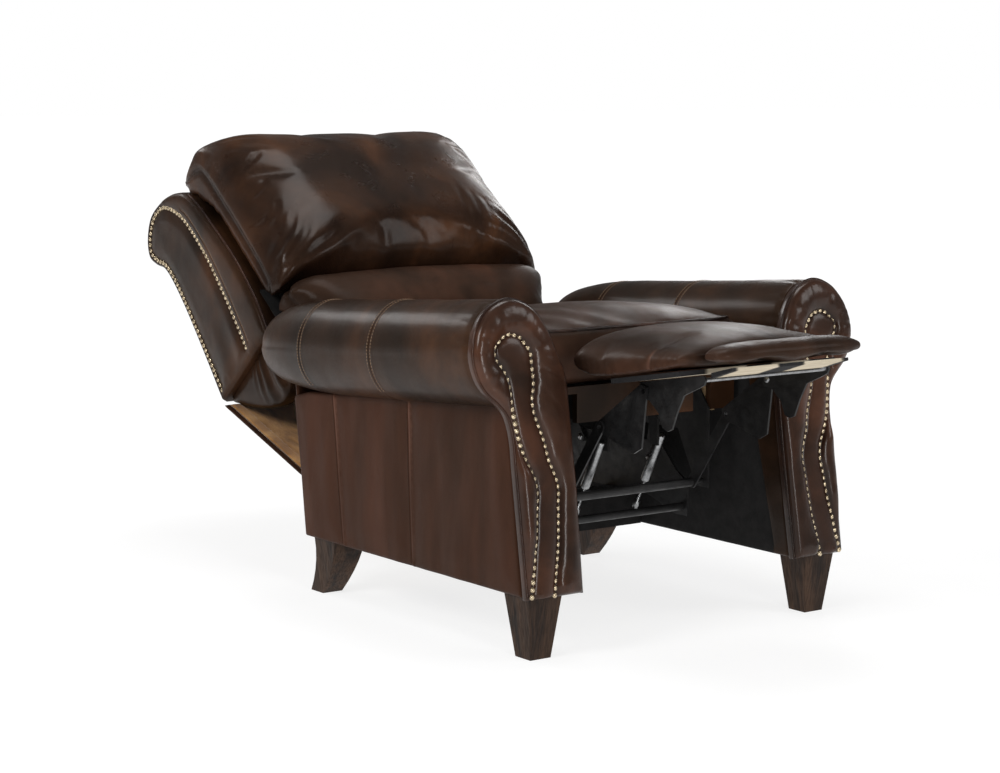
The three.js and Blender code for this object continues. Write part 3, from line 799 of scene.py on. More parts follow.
def make_facing(word, side):
    """The scrolled front of an arm: leather puffed out on both sides of two rows of nails."""
    outer, inner = (spline(row, 0.004) for row in (OUTER_NAILS, INNER_NAILS))
    strip = np.vstack([outer, inner[::-1]])
    rim = facing_outline()
    scroll = np.array((ROLL_X, ROLL_Z))

    def height(uv, gap):
        to_outer, to_inner = distance(uv, outer), distance(uv, inner)
        to_nails = np.minimum(to_outer, to_inner)
        share = gap / np.maximum(gap + to_nails, 1e-6)
        swell = np.sqrt(np.clip(4 * share * (1 - share), 0, 1))
        wide = smooth(0.006, 0.03, gap + to_nails)
        band = 0.0130 * swell * wide
        turn = np.arctan2(uv[:, 1] - scroll[1], uv[:, 0] - scroll[0])
        near_scroll = smooth(0.42, 0.50, uv[:, 1])
        pleat = np.maximum(0, np.sin(turn * 13 + 1.7 * np.sin(turn * 3))) ** 6
        ripple = np.sin(turn * 41 + 3 * np.sin(turn * 5 + side))
        band -= near_scroll * swell * (0.0014 * pleat + 0.0003 * ripple)
        band += 0.0005 * swell * waves(uv, 34, 3.0 + side, 2.2)
        level = 4 * to_outer * to_inner / np.maximum((to_outer + to_inner) ** 2, 1e-9)
        held = 0.0004 + 0.0055 * np.sqrt(level) - 0.0014 * bell(to_nails, 0.0045)
        return np.where(inside(uv, strip), held, band - 0.0012 * bell(to_nails, 0.004)
                        ) + rounded(gap, 0.006)

    def place(uv, lift):
        y = facing_front(uv[:, 1]) - lift * math.cos(LEAN)
        return np.column_stack([side * uv[:, 0], y, uv[:, 1] + lift * math.sin(LEAN)])

    def rub_and_painted_shade(uv, gap):
        to_nails = np.minimum(distance(uv, outer), distance(uv, inner))
        # Painted shade in the grooves along both rows of nails; the leather is rubbed a little
        # lighter just inside its edge.
        return -0.5 * bell(to_nails, 0.006) + 0.06 * bell(gap - 0.01, 0.005)

    panel = Panel(rim, place, height, FACING_DEPTH, (outer, inner), 0.0065)
    piece = panel.mesh(f"facing_leather_{word}", FACING_HIDE, None, rub_and_painted_shade)
    settle(piece, "base", "arm_leather", f"arm_facing_{word}")
    for row, path in (("outer", outer), ("inner", inner)):
        skip = int(row == "inner")      # both rows start at the same nail
        spots = panel.at(even(path, NAIL_PITCH)[skip:], 0.0012)
        way = (0, -math.cos(LEAN), math.sin(LEAN))
        nails = studs(f"facing_nails_{row}_{word}", spots, way, NAIL, NAIL_RISE, BRASS)
        settle(nails, "base", "zinc")
    edge = rim[:len(rim) - round(0.122 / 0.004)]        # all but the bottom edge
    welt = make(f"facing_welt_{word}", *tube(panel.place(edge, np.full(len(edge), -0.0045)),
                                             0.0034), WELT_HIDE)
    settle(welt, "base", "arm_leather")


def roll_point(side, along, turn, lift=0.0):
    """A point on the roll: along from its front, turn round it from the outer side up."""
    sizes = spline([(0, .972), (.012, .99), (.03, 1), (.17, 1), (.37, 1), (.54, .99),
                    (.63, .945), (.70, .86), (.75, .75), (.783, .60), (.800, .38)], 0.004)
    along, turn = np.broadcast_arrays(np.asarray(along, float), turn)
    scale = np.interp(along, sizes[:, 0], sizes[:, 1])
    seam = sum(bell(along - place, 0.0032) for place in ROLL_SEAMS)
    lap = sum(bell(along - place - 0.008, 0.006) for place in ROLL_SEAMS)
    radius = scale - (0.010 * seam - 0.003 * lap)
    front = bell(along, 0.05)
    creases = np.maximum(0, np.sin(turn * 9 + 2.2 * np.sin(turn * 2 + side))) ** 5
    radius -= front * creases * 0.022 * smooth(-0.6, 0.5, np.sin(turn))
    radius += 0.012 * smooth(0.05, 0.2, along) * np.sin(along * 7 + turn * 1.3)
    x = ROLL_X + (ROLL_RX * radius + lift) * np.cos(turn)
    rise = (ROLL_RZ * radius + lift) * np.sin(turn)
    z = ROLL_Z - along * ROLL_FALL + rise
    lean = math.tan(LEAN) * np.clip(1 - along / 0.2, 0, 1)
    return np.stack([side * x, ROLL_START + along + rise * lean, z], -1)


def make_roll(word, side):
    """The rolled top of an arm, with its two crosswise seams."""
    turn = np.linspace(0, 2 * math.pi, 120, endpoint=False)
    stops = set(np.linspace(0.07, 0.76, 60)) | set(np.linspace(0, 0.06, 14))
    stops |= set(np.linspace(0.765, 0.800, 14))
    for seam in ROLL_SEAMS:
        stops |= set(seam + np.linspace(-0.012, 0.016, 15))
    rings = [roll_point(side, along, turn) for along in sorted(stops)]
    points, faces = loft(rings)
    points[:, 2] += 0.0012 * lumps(points, 14, side * 2.0)
    up = (points[:, 2] - ROLL_Z + (points[:, 1] - ROLL_START) * ROLL_FALL) / ROLL_RZ
    seams = sum(bell(points[:, 1] - ROLL_START - seam, 0.007) for seam in ROLL_SEAMS)
    # Rubbed lighter along the seams on the upper half; the lower half of the roll is painted darker
    # as shade.
    rub_and_painted_shade = 0.07 * seams * smooth(-0.2, 0.5, up) - 0.2 * smooth(0.1, -0.9, up)
    roll = make(f"roll_leather_{word}", points, faces, ARM_HIDE, rub_and_painted_shade)
    settle(roll, "base", "arm_leather", f"arm_roll_{word}")
    paths = []
    for seam in ROLL_SEAMS:
        for gap in (-0.0055, 0.0062):
            arc = np.linspace(-0.9, math.pi + 0.2, 160)
            paths.append(roll_point(side, seam + gap, arc, 0.0006))
    thread = stitches(f"roll_stitches_{word}", paths, THREAD)
    settle(thread, "base", "arm_leather")


PANEL_SEAMS = ([(.608, .440), (.571, .119)], [(.338, .455), (.324, .119)])


def roll_floor(y):
    """The top edge of the outer panel, under the roll."""
    return 0.470 - (y - ROLL_START) * 0.078


def make_outer_panel(word, side):
    """The arm's outer face, with two lapped seams."""
    front = facing_front(ARM_BOTTOM) + FACING_DEPTH
    rim = even([(front, ARM_BOTTOM), (.719, ARM_BOTTOM), (.759, .404), (.700, roll_floor(.700)),
                (front + 0.048, roll_floor(front + 0.048))], 0.005, True)

    def height(uv, gap):
        seams = np.minimum(distance(uv, PANEL_SEAMS[0]), distance(uv, PANEL_SEAMS[1]))
        puff = 0.0030 * smooth(0, 0.05, np.minimum(gap, seams))
        lap = np.zeros(len(uv))
        for (y0, z0), (y1, z1) in PANEL_SEAMS:
            across = uv[:, 0] - (y0 + (uv[:, 1] - z0) * (y1 - y0) / (z1 - z0))
            lap += 0.0018 * bell(across + 0.0035, 0.003) - 0.0016 * bell(across, 0.0018)
        return puff + lap + 0.0012 * waves(uv, 9, side, 2.2, 0.7) + rounded(gap, 0.007)

    def place(uv, lift):
        return np.column_stack([side * (ARM_OUT + lift), uv[:, 0], uv[:, 1]])

    def rub_and_painted_shade(uv, gap):
        rubbed = np.zeros(len(uv))
        for (y0, z0), (y1, z1) in PANEL_SEAMS:
            across = uv[:, 0] - (y0 + (uv[:, 1] - z0) * (y1 - y0) / (z1 - z0))
            rubbed += bell(across + 0.0035, 0.0035) * (0.15 + 0.6 * smooth(0.25, 0.42, uv[:, 1]))
        # Rubbed lighter along the lapped seams; painted shade along the panel's edges and at its
        # top, under the roll.
        return rubbed - 0.25 * bell(gap, 0.006) - 0.3 * smooth(0.42, 0.455, uv[:, 1])

    panel = Panel(rim, place, height, 0.019, PANEL_SEAMS, 0.009)
    piece = panel.mesh(f"outer_panel_leather_{word}", PANEL_HIDE, None, rub_and_painted_shade)
    settle(piece, "base", "arm_leather", f"arm_outer_panel_{word}")
    rows = []
    for seam in PANEL_SEAMS:
        for shift in (-0.0075, 0.0042):
            row = even(np.array(seam) + (shift, 0), 0.004)
            row = row[(row[:, 1] > ARM_BOTTOM + 0.004) & (row[:, 1] < 0.43)]
            rows.append(panel.at(row, 0.0003))
    settle(stitches(f"outer_panel_stitches_{word}", rows, DARK_THREAD), "base", "arm_leather")


def make_inner_panel(word, side):
    """The arm's inner face: dark cloth, with leather turned in along its front."""
    front = facing_front(ARM_BOTTOM) + FACING_DEPTH
    rim = even([(front, ARM_BOTTOM), (.745, ARM_BOTTOM), (.770, .480), (front + 0.061, .548)],
               0.006, True)
    border = np.array([(0.014, 0.137), (0.080, 0.40), (0.115, 0.54)])

    def height(uv, gap):
        seam = 0.001 * bell(distance(uv, border), 0.003)
        return 0.0015 * waves(uv, 16, 5 + side) + rounded(gap, 0.005) - seam

    def place(uv, lift):
        return np.column_stack([side * (ARM_IN - lift), uv[:, 0], uv[:, 1]])

    panel = Panel(rim, place, height, 0.017, (border,), 0.011)
    piece = panel.mesh(f"inner_panel_{word}", DUST_CLOTH)
    piece.data.materials.append(ARM_HIDE)
    points = chair_points(piece)
    for face in piece.data.polygons:
        spot = points[list(face.vertices)].mean(0)
        if spot[1] < np.interp(spot[2], border[:, 1], border[:, 0]):
            face.material_index = 1
    settle(piece, "base", "arm_leather", f"arm_inner_panel_{word}")


def make_arm_rear(word, side):
    """Closes the arm at the back, between the outer and inner panels."""
    width = ARM_OUT - ARM_IN
    across = np.linspace(0.03, 0.97, 18)
    edge = np.minimum(across - 0.03, 0.97 - across) * width
    swell = 0.003 * smooth(0, 0.03, edge) - 0.002 * bell(edge, 0.004)

    def row(across, z, lift):
        outer = np.interp(z, (.118, .404, .46), (.719, .759, .765))
        inner = np.interp(z, (.118, .480), (.745, .770))
        y = outer * (1 - across) + inner * across + lift
        return np.stack([side * (ARM_OUT - across * width), y, np.full(len(across), z)], -1)

    rings = [np.vstack([row(across, z, swell - 0.004), row(across[::-1], z, -0.012)])
             for z in np.linspace(0.124, 0.455, 44)]
    piece = make(f"arm_rear_leather_{word}", *loft(rings), PANEL_HIDE)
    settle(piece, "base", "arm_leather")


def make_arms():
    for word, side in SIDES:
        make_facing(word, side)
        make_roll(word, side)
        make_outer_panel(word, side)
        make_inner_panel(word, side)
        make_arm_rear(word, side)


# ---- back --------------------------------------------------------------------
# Points of the back are given as [x, y, z] in its own frame: from its pivot, z up the back and
# y towards the rear.
BACK_TURN = np.array([[1, 0, 0], [0, math.cos(RECLINE), -math.sin(RECLINE)],
                      [0, math.sin(RECLINE), math.cos(RECLINE)]])


def on_back(points):
    """Points of the back in chair coordinates."""
    return np.asarray(points, float) @ BACK_TURN + BACK


def in_back(points):
    """Chair coordinates in the frame of the back."""
    return (np.asarray(points, float) - BACK) @ BACK_TURN.T


WING_FRONT = [(.034, .258), (.015, .339), (.006, .448), (.013, .570), (.029, .686), (.062, .738),
              (.115, .775), (.180, .794), (.233, .776), (.260, .742), (.252, .707), (.233, .672),
              (.230, .620), (.240, .530), (.262, .405), (.283, .302)]
WING_NAILS = [(.115, .300), (.106, .345), (.092, .425), (.078, .540), (.079, .648), (.092, .705),
              (.120, .755), (.150, .773), (.183, .778), (.222, .764), (.243, .740), (.236, .706),
              (.219, .672), (.216, .620), (.226, .530), (.248, .405), (.264, .320)]
WING_NAIL_FRONT = 6              # the nail row runs this many points up before it turns


def make_wing(word, side):
    """A nailed wing of the back, with a soft middle inside the nails."""
    rim = closed_spline(WING_FRONT, 0.005)
    nails = spline(WING_NAILS, 0.004)
    seam = spline([(u - 0.019, v) for u, v in WING_NAILS[:WING_NAIL_FRONT]], 0.004)[:-4]

    def height(uv, gap):
        to_nails = distance(uv, nails)
        share = gap / np.maximum(gap + to_nails, 1e-6)
        swell = np.sqrt(np.clip(4 * share * (1 - share), 0, 1))
        front_band = uv[:, 0] < np.interp(uv[:, 1], [v for _, v in WING_NAILS[:7]],
                                          [u for u, _ in WING_NAILS[:7]])
        band = np.where(front_band, 0.004, 0.0025) * swell
        middle_part = inside(uv, np.vstack([nails, nails[:1]]))
        fold = uv[:, 0] + 0.35 * (uv[:, 1] - 0.5)
        soft = 0.004 * smooth(0, 0.03, to_nails)
        soft += 0.0012 * np.sin((fold - 0.05) * 75) * smooth(0.55, 0.30, uv[:, 1])
        soft += 0.0008 * waves(uv, 12, 0.0, 2, 0.6)
        base = np.where(middle_part, soft, band)
        groove = 0.0016 * bell(to_nails, 0.004) + 0.0012 * bell(distance(uv, seam), 0.0022)
        return base - groove + rounded(gap, 0.011)

    def inner(uv, gap):
        depth = WING_OUT - WING_IN - 0.004 + 0.004 * smooth(0, .04, gap)
        return -depth - 0.001 * waves(uv, 12, 9) - rounded(gap, 0.010)

    def place(uv, lift):
        x = side * (WING_OUT - 0.002 + lift)
        return on_back(np.column_stack([x, uv[:, 0], uv[:, 1]]))

    def rub_and_painted_shade(uv, gap):
        # Painted shade in the groove along the nails and near the edge at the wing's front; rubbed
        # lighter along the stitched seam.
        dark = -0.35 * bell(distance(uv, nails), 0.006)
        front = uv[:, 0] < np.interp(uv[:, 1], (.25, .45, .70, .80), (.045, .017, .045, .12))
        return dark + 0.10 * bell(distance(uv, seam), 0.004) - 0.4 * front * bell(gap, 0.02)

    panel = Panel(rim, place, height, WING_OUT - WING_IN, (nails, seam), 0.008)
    piece = panel.mesh(f"wing_leather_{word}", ARM_HIDE, inner, rub_and_painted_shade)
    settle(piece, "back", "arm_leather", f"back_wing_{word}")
    heads = studs(f"wing_nails_{word}", panel.at(even(nails, NAIL_PITCH), 0.0012), (side, 0, 0),
                  NAIL, NAIL_RISE, BRASS)
    settle(heads, "back", "zinc")
    settle(stitches(f"wing_stitches_{word}", [panel.at(seam, 0.0006)], THREAD), "back",
           "arm_leather")
    edge = np.array([p for p in rim[:120] if p[1] < .70 and p[0] < .07])
    welt = make(f"wing_welt_{word}", *tube(panel.place(edge, np.full(len(edge), -0.007)), 0.003),
                WELT_HIDE)
    settle(welt, "back", "arm_leather")


HEAD_PROFILE = [(-.008, .322), (-.060, .304), (-.104, .310), (-.132, .345), (-.141, .400),
                (-.142, .520), (-.134, .640), (-.116, .708), (-.086, .743), (-.048, .758),
                (.000, .760), (.032, .753), (.045, .738), (.036, .718), (.010, .706),
                (-.006, .690)]
HEAD_HALF = 0.345
HEAD_SEAM = [(.004, .322), (-.024, .334), (-.037, .37), (-.040, .50), (-.038, .60), (-.034, .69),
             (-.016, .720), (.040, .746)]


def headrest_rings():
    """The head pillow before filling: a face that rounds back to a narrow gusset at each end."""
    outline = closed_spline(HEAD_PROFILE, 0.007)
    half = HEAD_HALF - 0.004
    gusset = HEAD_SEAM[3][0]
    rings = []
    for x in stations(half, 60):
        full = fullness(half, x, 0.125)
        share = 0.12 + 0.88 * full
        ring = outline.copy()
        ahead = ring[:, 0] < gusset
        ring[ahead, 0] = gusset + (ring[ahead, 0] - gusset) * share
        mid = ring[:, 1].mean()
        high = ring[:, 1] > mid
        ring[high, 1] = mid + (ring[high, 1] - mid) * (0.95 + 0.05 * full)
        ring[~high, 1] -= 0.006 * (1 - full)
        middle_part = math.cos(math.pi / 2 * min(1, abs(x) / half)) ** 0.8
        ring[:, 1] += 0.024 * middle_part * smooth(0.50, 0.33, ring[:, 1])
        crown = 0.3 + 0.7 * middle_part
        ring[ahead, 0] -= 0.010 * crown * smooth(0.56, 0.68, ring[ahead, 1])
        ring[:, 1] += 0.013 * crown * smooth(0.60, 0.72, ring[:, 1])
        tucked = smooth(0.60, 0.69, ring[:, 1]) * smooth(-0.03, -0.01, ring[:, 0])
        ring[:, 0] += 0.026 * tucked * smooth(0.300, 0.318, abs(x)) * (ring[:, 0] < 0.03)
        rings.append(at_x(x, ring))
    return rings


def make_wing_gusset(word, side):
    """The gathered leather below a wing, which follows the back behind the arm."""
    rim = spline([(.046, .262), (.150, .292), (.272, .303), (.262, .272), (.215, .215),
                  (.165, .168), (.125, .146), (.085, .146), (.052, .180), (.038, .225)],
                 0.005, True)

    def folds(uv):
        fan = np.arctan2(uv[:, 0] - 0.06, 0.42 - uv[:, 1])
        return np.sin(fan * 46 + 1.5 * np.sin(fan * 13)) * smooth(0.19, 0.12, uv[:, 0])

    def height(uv, gap):
        soft = 0.006 * smooth(0, 0.04, gap)
        return soft + 0.0034 * folds(uv) * smooth(0, 0.012, gap) + rounded(gap, 0.010)

    def place(uv, lift):
        return on_back(np.column_stack([side * (0.338 + lift), uv[:, 0], uv[:, 1]]))

    def rub_and_painted_shade(uv, gap):
        # Painted shade: the gusset, tucked behind the arm, is darkened all over, its folds striped
        # darker and lighter, and the shade eased towards its rear.
        return -0.45 - 0.25 * folds(uv) + 0.35 * smooth(0.17, 0.24, uv[:, 0])

    panel = Panel(rim, place, height, 0.036, (), 0.006)
    piece = panel.mesh(f"wing_gusset_leather_{word}", ARM_HIDE, None, rub_and_painted_shade)
    settle(piece, "back", "arm_leather")
    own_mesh(piece)


def make_headrest():
    """The head pillow: filled, then sewn at its ends and creased."""
    points, faces = loft(headrest_rings())
    piece = make("headrest_pillow_leather", on_back(points), faces, CUSHION_HIDE)
    seam = spline(HEAD_SEAM, 0.01)

    def held(points):
        p = in_back(points)
        side_gap = HEAD_HALF - np.abs(p[:, 0])
        line = bell(distance(p[:, 1:], seam), 0.007) * smooth(0.030, 0.015, side_gap)
        rear = smooth(-0.016, -0.006, p[:, 1]) * smooth(0.715, 0.690, p[:, 2])
        return np.maximum(line, rear)

    stuff(piece, held, 0.0075, 2.6, 0.016)
    relax(piece, 5)
    for side in (1, -1):
        shape_headrest_end(piece, side, seam)
    add_creases(piece)
    p = in_back(chair_points(piece))
    # Rubbed a little lighter beside the end seams; painted shade in the seam grooves and on the
    # bottom of the pillow towards the back.
    gap = distance(p[:, 1:], seam) + 2 * np.clip(HEAD_HALF - 0.03 - np.abs(p[:, 0]), 0, 1)
    low = smooth(0.36, 0.30, p[:, 2]) * smooth(-0.10, -0.02, p[:, 1])
    paint(piece, 0.06 * bell(gap - 0.02, 0.02) - 0.6 * bell(gap, 0.005) - 0.5 * low)
    soften(piece)
    settle(piece, "back", "cushion_leather", "headrest_pillow")
    rows = []
    for side in (1, -1):
        row = seam[2:-2] + (-0.007, 0)
        spots = on_back(at_x(side * (HEAD_HALF + 0.02), row))
        rows.append(snap(piece, spots, (-side, 0, 0), 0.0007))
    settle(stitches("headrest_stitches", rows, DARK_THREAD), "back", "cushion_leather")


def shape_headrest_end(piece, side, seam):
    """The sewn line between the face of the pillow and its gusset, with gathers along it."""
    points = chair_points(piece)
    p = in_back(points)
    away, along = nearest(p[:, 1:], seam)
    near_end = smooth(HEAD_HALF - 0.06, HEAD_HALF - 0.025, side * p[:, 0])
    pulse = np.sin(along * 230 + 4 * np.sin(along * 37)) * 0.6 + np.sin(along * 410 + 1) * 0.4
    groove = 0.0055 * bell(away, 0.0055)
    gathers = 0.0007 * pulse * bell(away - 0.012, 0.016) * (p[:, 1] < -0.03)
    press(piece, points, (groove + np.maximum(gathers, -0.0012)) * near_end)


def fold_lines(points, lines):
    """Depth at each 2-D point of narrow folds: (start, end, half-width, depth)."""
    depth = np.zeros(len(points))
    for start, end, width, deep in lines:
        path = np.array([start, ((start[0] + end[0]) / 2 + 0.008, (start[1] + end[1]) / 2), end])
        away, along = nearest(points, spline(path, 0.01))
        total = math.dist(start, end)
        taper = smooth(0, 0.25 * total, along) * smooth(total * 1.02, 0.6 * total, along)
        taper = np.maximum(taper, smooth(0.3 * total, 0.02, along) * 0.8)
        depth += deep * taper * (bell(away, width) - 0.45 * bell(away - 1.9 * width, width))
    return depth


def add_creases(piece):
    """Folds at the low corners of the head pillow, ripples across it and a soft sag."""
    points = chair_points(piece)
    p = in_back(points)
    face = smooth(-0.05, -0.09, p[:, 1])
    flat = p[:, [0, 2]]
    lines = []
    for side in (1, -1):
        lines += [((side * .312, .340), (side * .235, .425), .009, .0030),
                  ((side * .318, .372), (side * .255, .462), .007, .0022),
                  ((side * .290, .330), (side * .175, .385), .009, .0024),
                  ((side * .322, .440), (side * .282, .490), .006, .0016),
                  ((side * .322, .530), (side * .278, .562), .006, .0014),
                  ((side * .318, .610), (side * .262, .640), .007, .0018),
                  ((side * .310, .690), (side * .262, .658), .007, .0018),
                  ((side * .300, .725), (side * .215, .695), .006, .0014)]
    lines += [((.150, .355), (.175, .520), .007, .0018), ((.185, .350), (.205, .500), .006, .0016),
              ((.215, .350), (.232, .480), .006, .0014), ((.05, .345), (.02, .400), .009, .0010),
              ((-.06, .345), (-.09, .420), .009, .0010)]
    depth = fold_lines(flat, lines) * face
    stretch = np.column_stack([p[:, 0] * 2.4, p[:, 1], p[:, 2] * 0.8])
    depth += 0.0009 * lumps(stretch, 6, 4.0)
    press(piece, points, depth)


def snap(piece, spots, way, above):
    """Each spot moved along a direction until it meets the piece, and a little proud of it."""
    graph = bpy.context.evaluated_depsgraph_get()
    shape = piece.evaluated_get(graph)
    aim = Vector(way).normalized()
    back = piece.matrix_world.inverted()
    found = []
    for spot in spots:
        start = back @ (Vector(spot) + Vector((0, FRONT, 0)) - aim * 0.06)
        hit, where, facing, _ = shape.ray_cast(start, back.to_3x3() @ aim, distance=0.3)
        if hit:
            place = piece.matrix_world @ (where + facing * above)
            found.append(np.array(place) - (0, FRONT, 0))
    return np.array(found)


LUMBAR_PROFILE = [(-.008, .135), (-.055, .126), (-.092, .140), (-.106, .200), (-.104, .265),
                  (-.080, .296), (-.040, .304), (-.008, .300)]
LUMBAR_HALF = 0.332
LUMBAR_SQUEEZE = 0.45            # how much thinner it is at its ends


def lumbar_rings():
    """The lumbar pillow before filling: its side profile, pulled in at both ends."""
    outline = closed_spline(LUMBAR_PROFILE, 0.007)
    rings = []
    for x in stations(LUMBAR_HALF, 36):
        full = fullness(LUMBAR_HALF, x, 0.07)
        ring = outline.copy()
        ring[:, 0] *= 1 - LUMBAR_SQUEEZE * (1 - full)
        mid = ring[:, 1].mean()
        ring[:, 1] = mid + (ring[:, 1] - mid) * (1 - 0.35 * LUMBAR_SQUEEZE * (1 - full))
        rings.append(at_x(x, ring))
    return rings


def make_lumbar():
    points, faces = loft(lumbar_rings())
    piece = make("lumbar_pillow_leather", on_back(points), faces, SEAT_HIDE)
    p = in_back(chair_points(piece))
    arch = np.cos(math.pi / 2 * np.minimum(1, np.abs(p[:, 0]) / LUMBAR_HALF)) ** 0.8
    p[:, 0] *= np.interp(p[:, 2], (.13, .20, .28), (.80, .86, 1.0))
    p[:, 2] += 0.026 * arch * smooth(0.20, 0.28, p[:, 2])
    move_points(piece, on_back(p))

    def held(points):
        p = in_back(points)
        return smooth(-0.020, -0.008, p[:, 1])

    stuff(piece, held, 0.0075, 2.5, 0.012)
    points = chair_points(piece)
    p = in_back(points)
    end = smooth(0.22, 0.28, np.abs(p[:, 0]))
    seam = np.abs(p[:, 1] + 0.040 + 0.2 * (p[:, 2] - 0.22))
    gathers = np.sin(p[:, 2] * 300 + 3 * np.sin(p[:, 2] * 60)) * bell(seam - 0.014, 0.016)
    depth = end * (0.007 * bell(seam, 0.005) + 0.0016 * gathers)
    depth += 0.0008 * lumps(np.column_stack([p[:, 0] * 1.6, p[:, 1:]]), 10, 2)
    press(piece, points, depth)
    # Painted shade in the seams at its ends and along its top, under the head pillow.
    paint(piece, -0.4 * end * bell(seam, 0.006) - 0.2 * smooth(0.27, 0.31, p[:, 2]))
    soften(piece)
    settle(piece, "back", "cushion_leather", "lumbar_pillow")


SHELL_SEAM = 0.105               # X of the two seams up the rear of the back
SHELL_WAIST = 0.668              # where the rolled top is sewn on


def make_back_shell():
    """The leather over the rear of the back and its rolled top, as one wrapped cover."""
    outside = spline([(.276, .304), (.254, .405), (.233, .530), (.224, .620), (.227, .672),
                      (.246, .707), (.253, .741), (.228, .771), (.178, .788), (.116, .771),
                      (.066, .737), (.044, .706)], 0.006)
    within = spline([(.054, .700), (.110, .706), (.170, .708), (.205, .700), (.216, .676),
                     (.213, .620), (.222, .530), (.244, .405), (.266, .303)], 0.010)
    outline = np.vstack([outside, within])
    half = WING_IN - 0.001
    rings = []
    for x in np.linspace(-half, half, 64):
        edge = half - abs(x)
        ring = outline.copy()
        shift = np.zeros((len(ring), 2))
        ahead = np.gradient(ring[:len(outside)], axis=0)
        away = np.stack([ahead[:, 1], -ahead[:, 0]], 1)
        away /= np.linalg.norm(away, axis=1)[:, None]
        high = ring[:len(outside), 1]
        swell = 0.004 * float(smooth(0, 0.09, edge)) - 0.003 * float(bell(edge, 0.006))
        seam = float(bell(abs(x) - SHELL_SEAM, 0.003)) * smooth(0.66, 0.64, high)
        waist = bell(high - SHELL_WAIST, 0.006)
        shift[:len(outside)] = away * (swell - 0.0022 * seam - 0.003 * waist)[:, None]
        rings.append(at_x(x, ring + shift))
    points, faces = loft(rings)
    p = points.copy()
    points[:, 1] += 0.0014 * lumps(p * (1.5, 1, 0.7), 13, 8)
    seams = bell(np.abs(p[:, 0]) - SHELL_SEAM, 0.006) * (p[:, 1] > 0.218) * (p[:, 2] < 0.65)
    # Rubbed lighter along the rear seams; painted shade in the groove at the waist, where the
    # rolled top is sewn on.
    rub_and_painted_shade = 0.28 * seams - 0.3 * bell(p[:, 2] - SHELL_WAIST, 0.008) * (p[:, 1] > 0.20)
    piece = make("back_shell_leather", on_back(points), faces, PANEL_HIDE, rub_and_painted_shade)
    settle(piece, "back", "arm_leather", "back_outer_panel", "back_top_roll")
    row = outside[(outside[:, 1] < .64) & (outside[:, 1] > .31)]
    ahead = tuple(on_back([(0, -1, 0)])[0] - on_back([(0, 0, 0)])[0])
    rows = [snap(piece, on_back(at_x(x, row)), ahead, 0.0003) for x in (-.110, -.100, .100, .110)]
    settle(stitches("back_shell_stitches", rows, DARK_THREAD), "back", "arm_leather")


def make_back_inner():
    half = WING_IN - 0.001
    rim = even([(-half, .258), (half, .258), (half, .700), (-half, .700)], 0.012, True)

    def height(uv, gap):
        return 0.001 * waves(uv, 10) + rounded(gap, 0.004)

    def place(uv, lift):
        return on_back(np.column_stack([uv[:, 0], -lift, uv[:, 1]]))

    piece = Panel(rim, place, height, 0.013, (), 0.018).mesh("back_inner_cover", DUST_CLOTH)
    settle(piece, "back", "dust_cloth", "back_inner_panel")


LOWER_HALF = 0.255


def make_lower_pad():
    """The gathered leather below the wings, where the back meets the seat."""
    outline = spline([(.060, .080), (.100, .064), (.142, .078), (.154, .130), (.156, .190),
                      (.150, .236), (.120, .256), (.080, .252), (.056, .228), (.050, .150)],
                     0.006, True)
    rings = []
    for x in stations(LOWER_HALF, 70):
        full = fullness(LOWER_HALF, x, 0.04)
        mid = outline.mean(0)
        ring = mid + (outline - mid) * (0.72 + 0.28 * full)
        rings.append(at_x(x, ring))
    points, faces = loft(rings)
    piece = make("back_lower_leather", on_back(points), faces, CUSHION_HIDE)
    p = in_back(chair_points(piece))
    folds = np.sin(p[:, 0] * 95 + 5 * p[:, 2] + 2.2 * np.sin(p[:, 0] * 22))
    end = smooth(0.12, 0.25, np.abs(p[:, 0]))
    depth = (0.0015 + 0.003 * end) * folds + 0.002 * lumps(p * (2, 1, 1), 18, 3)
    press(piece, on_back(p), depth)
    # Painted shade over the whole pad, deeper in its pressed-in folds.
    paint(piece, -0.25 - 0.2 * folds)
    soften(piece)
    settle(piece, "back", "cushion_leather", "back_lower_pad")


def make_side_cloth(word, side):
    """Black cloth that closes the back beside the lumbar pillow and ahead of the wing."""
    strips = (([(.258, .100), (.296, .100), (.296, .252), (.258, .252)], 0.048),
              ([(.300, .258), (.336, .268), (.338, .360), (.300, .360)], 0.004))
    for name, (corners, ahead) in zip(("lower", "upper"), strips):

        def place(uv, lift, ahead=ahead):
            return on_back(np.column_stack([side * uv[:, 0], ahead - lift, uv[:, 1]]))

        panel = Panel(even(corners, 0.006, True), place,
                      lambda uv, gap: rounded(gap, 0.002), 0.004, (), 0.012)
        piece = panel.mesh(f"back_side_cloth_{name}_{word}", DUST_CLOTH)
        settle(piece, "back", "dust_cloth")
        if name == "lower":
            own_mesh(piece)


def make_joining_cover():
    """Loose leather between the rear of the seat and the foot of the lumbar pillow."""
    half = 0.245
    path = spline([(.632, .4745), (.660, .4765), (.700, .478), (.735, .484), (.768, .496)], 0.006)
    across = np.linspace(-half, half, 60)
    rings = []
    for x in across:
        wave = 0.002 * np.sin(x * 60 + 2 * np.sin(x * 17)) * np.sin(
            np.linspace(0, math.pi, len(path)))
        top = path + np.column_stack([0 * wave, wave + 0.0010])
        under = top[::-1] - (0, 0.0022)
        ring = np.vstack([top, under])
        rings.append(at_x(x, ring))
    points, faces = loft(rings)
    piece = make("seat_back_joining_cover", points, faces, SEAT_HIDE)
    length = float(np.linalg.norm(np.diff(path, axis=0), axis=1).sum())
    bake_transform(piece)


def make_back():
    for word, side in SIDES:
        make_side_cloth(word, side)
        make_wing(word, side)
        make_wing_gusset(word, side)
    make_headrest()
    make_lumbar()
    make_back_shell()
    make_back_inner()
    make_lower_pad()
    make_joining_cover()


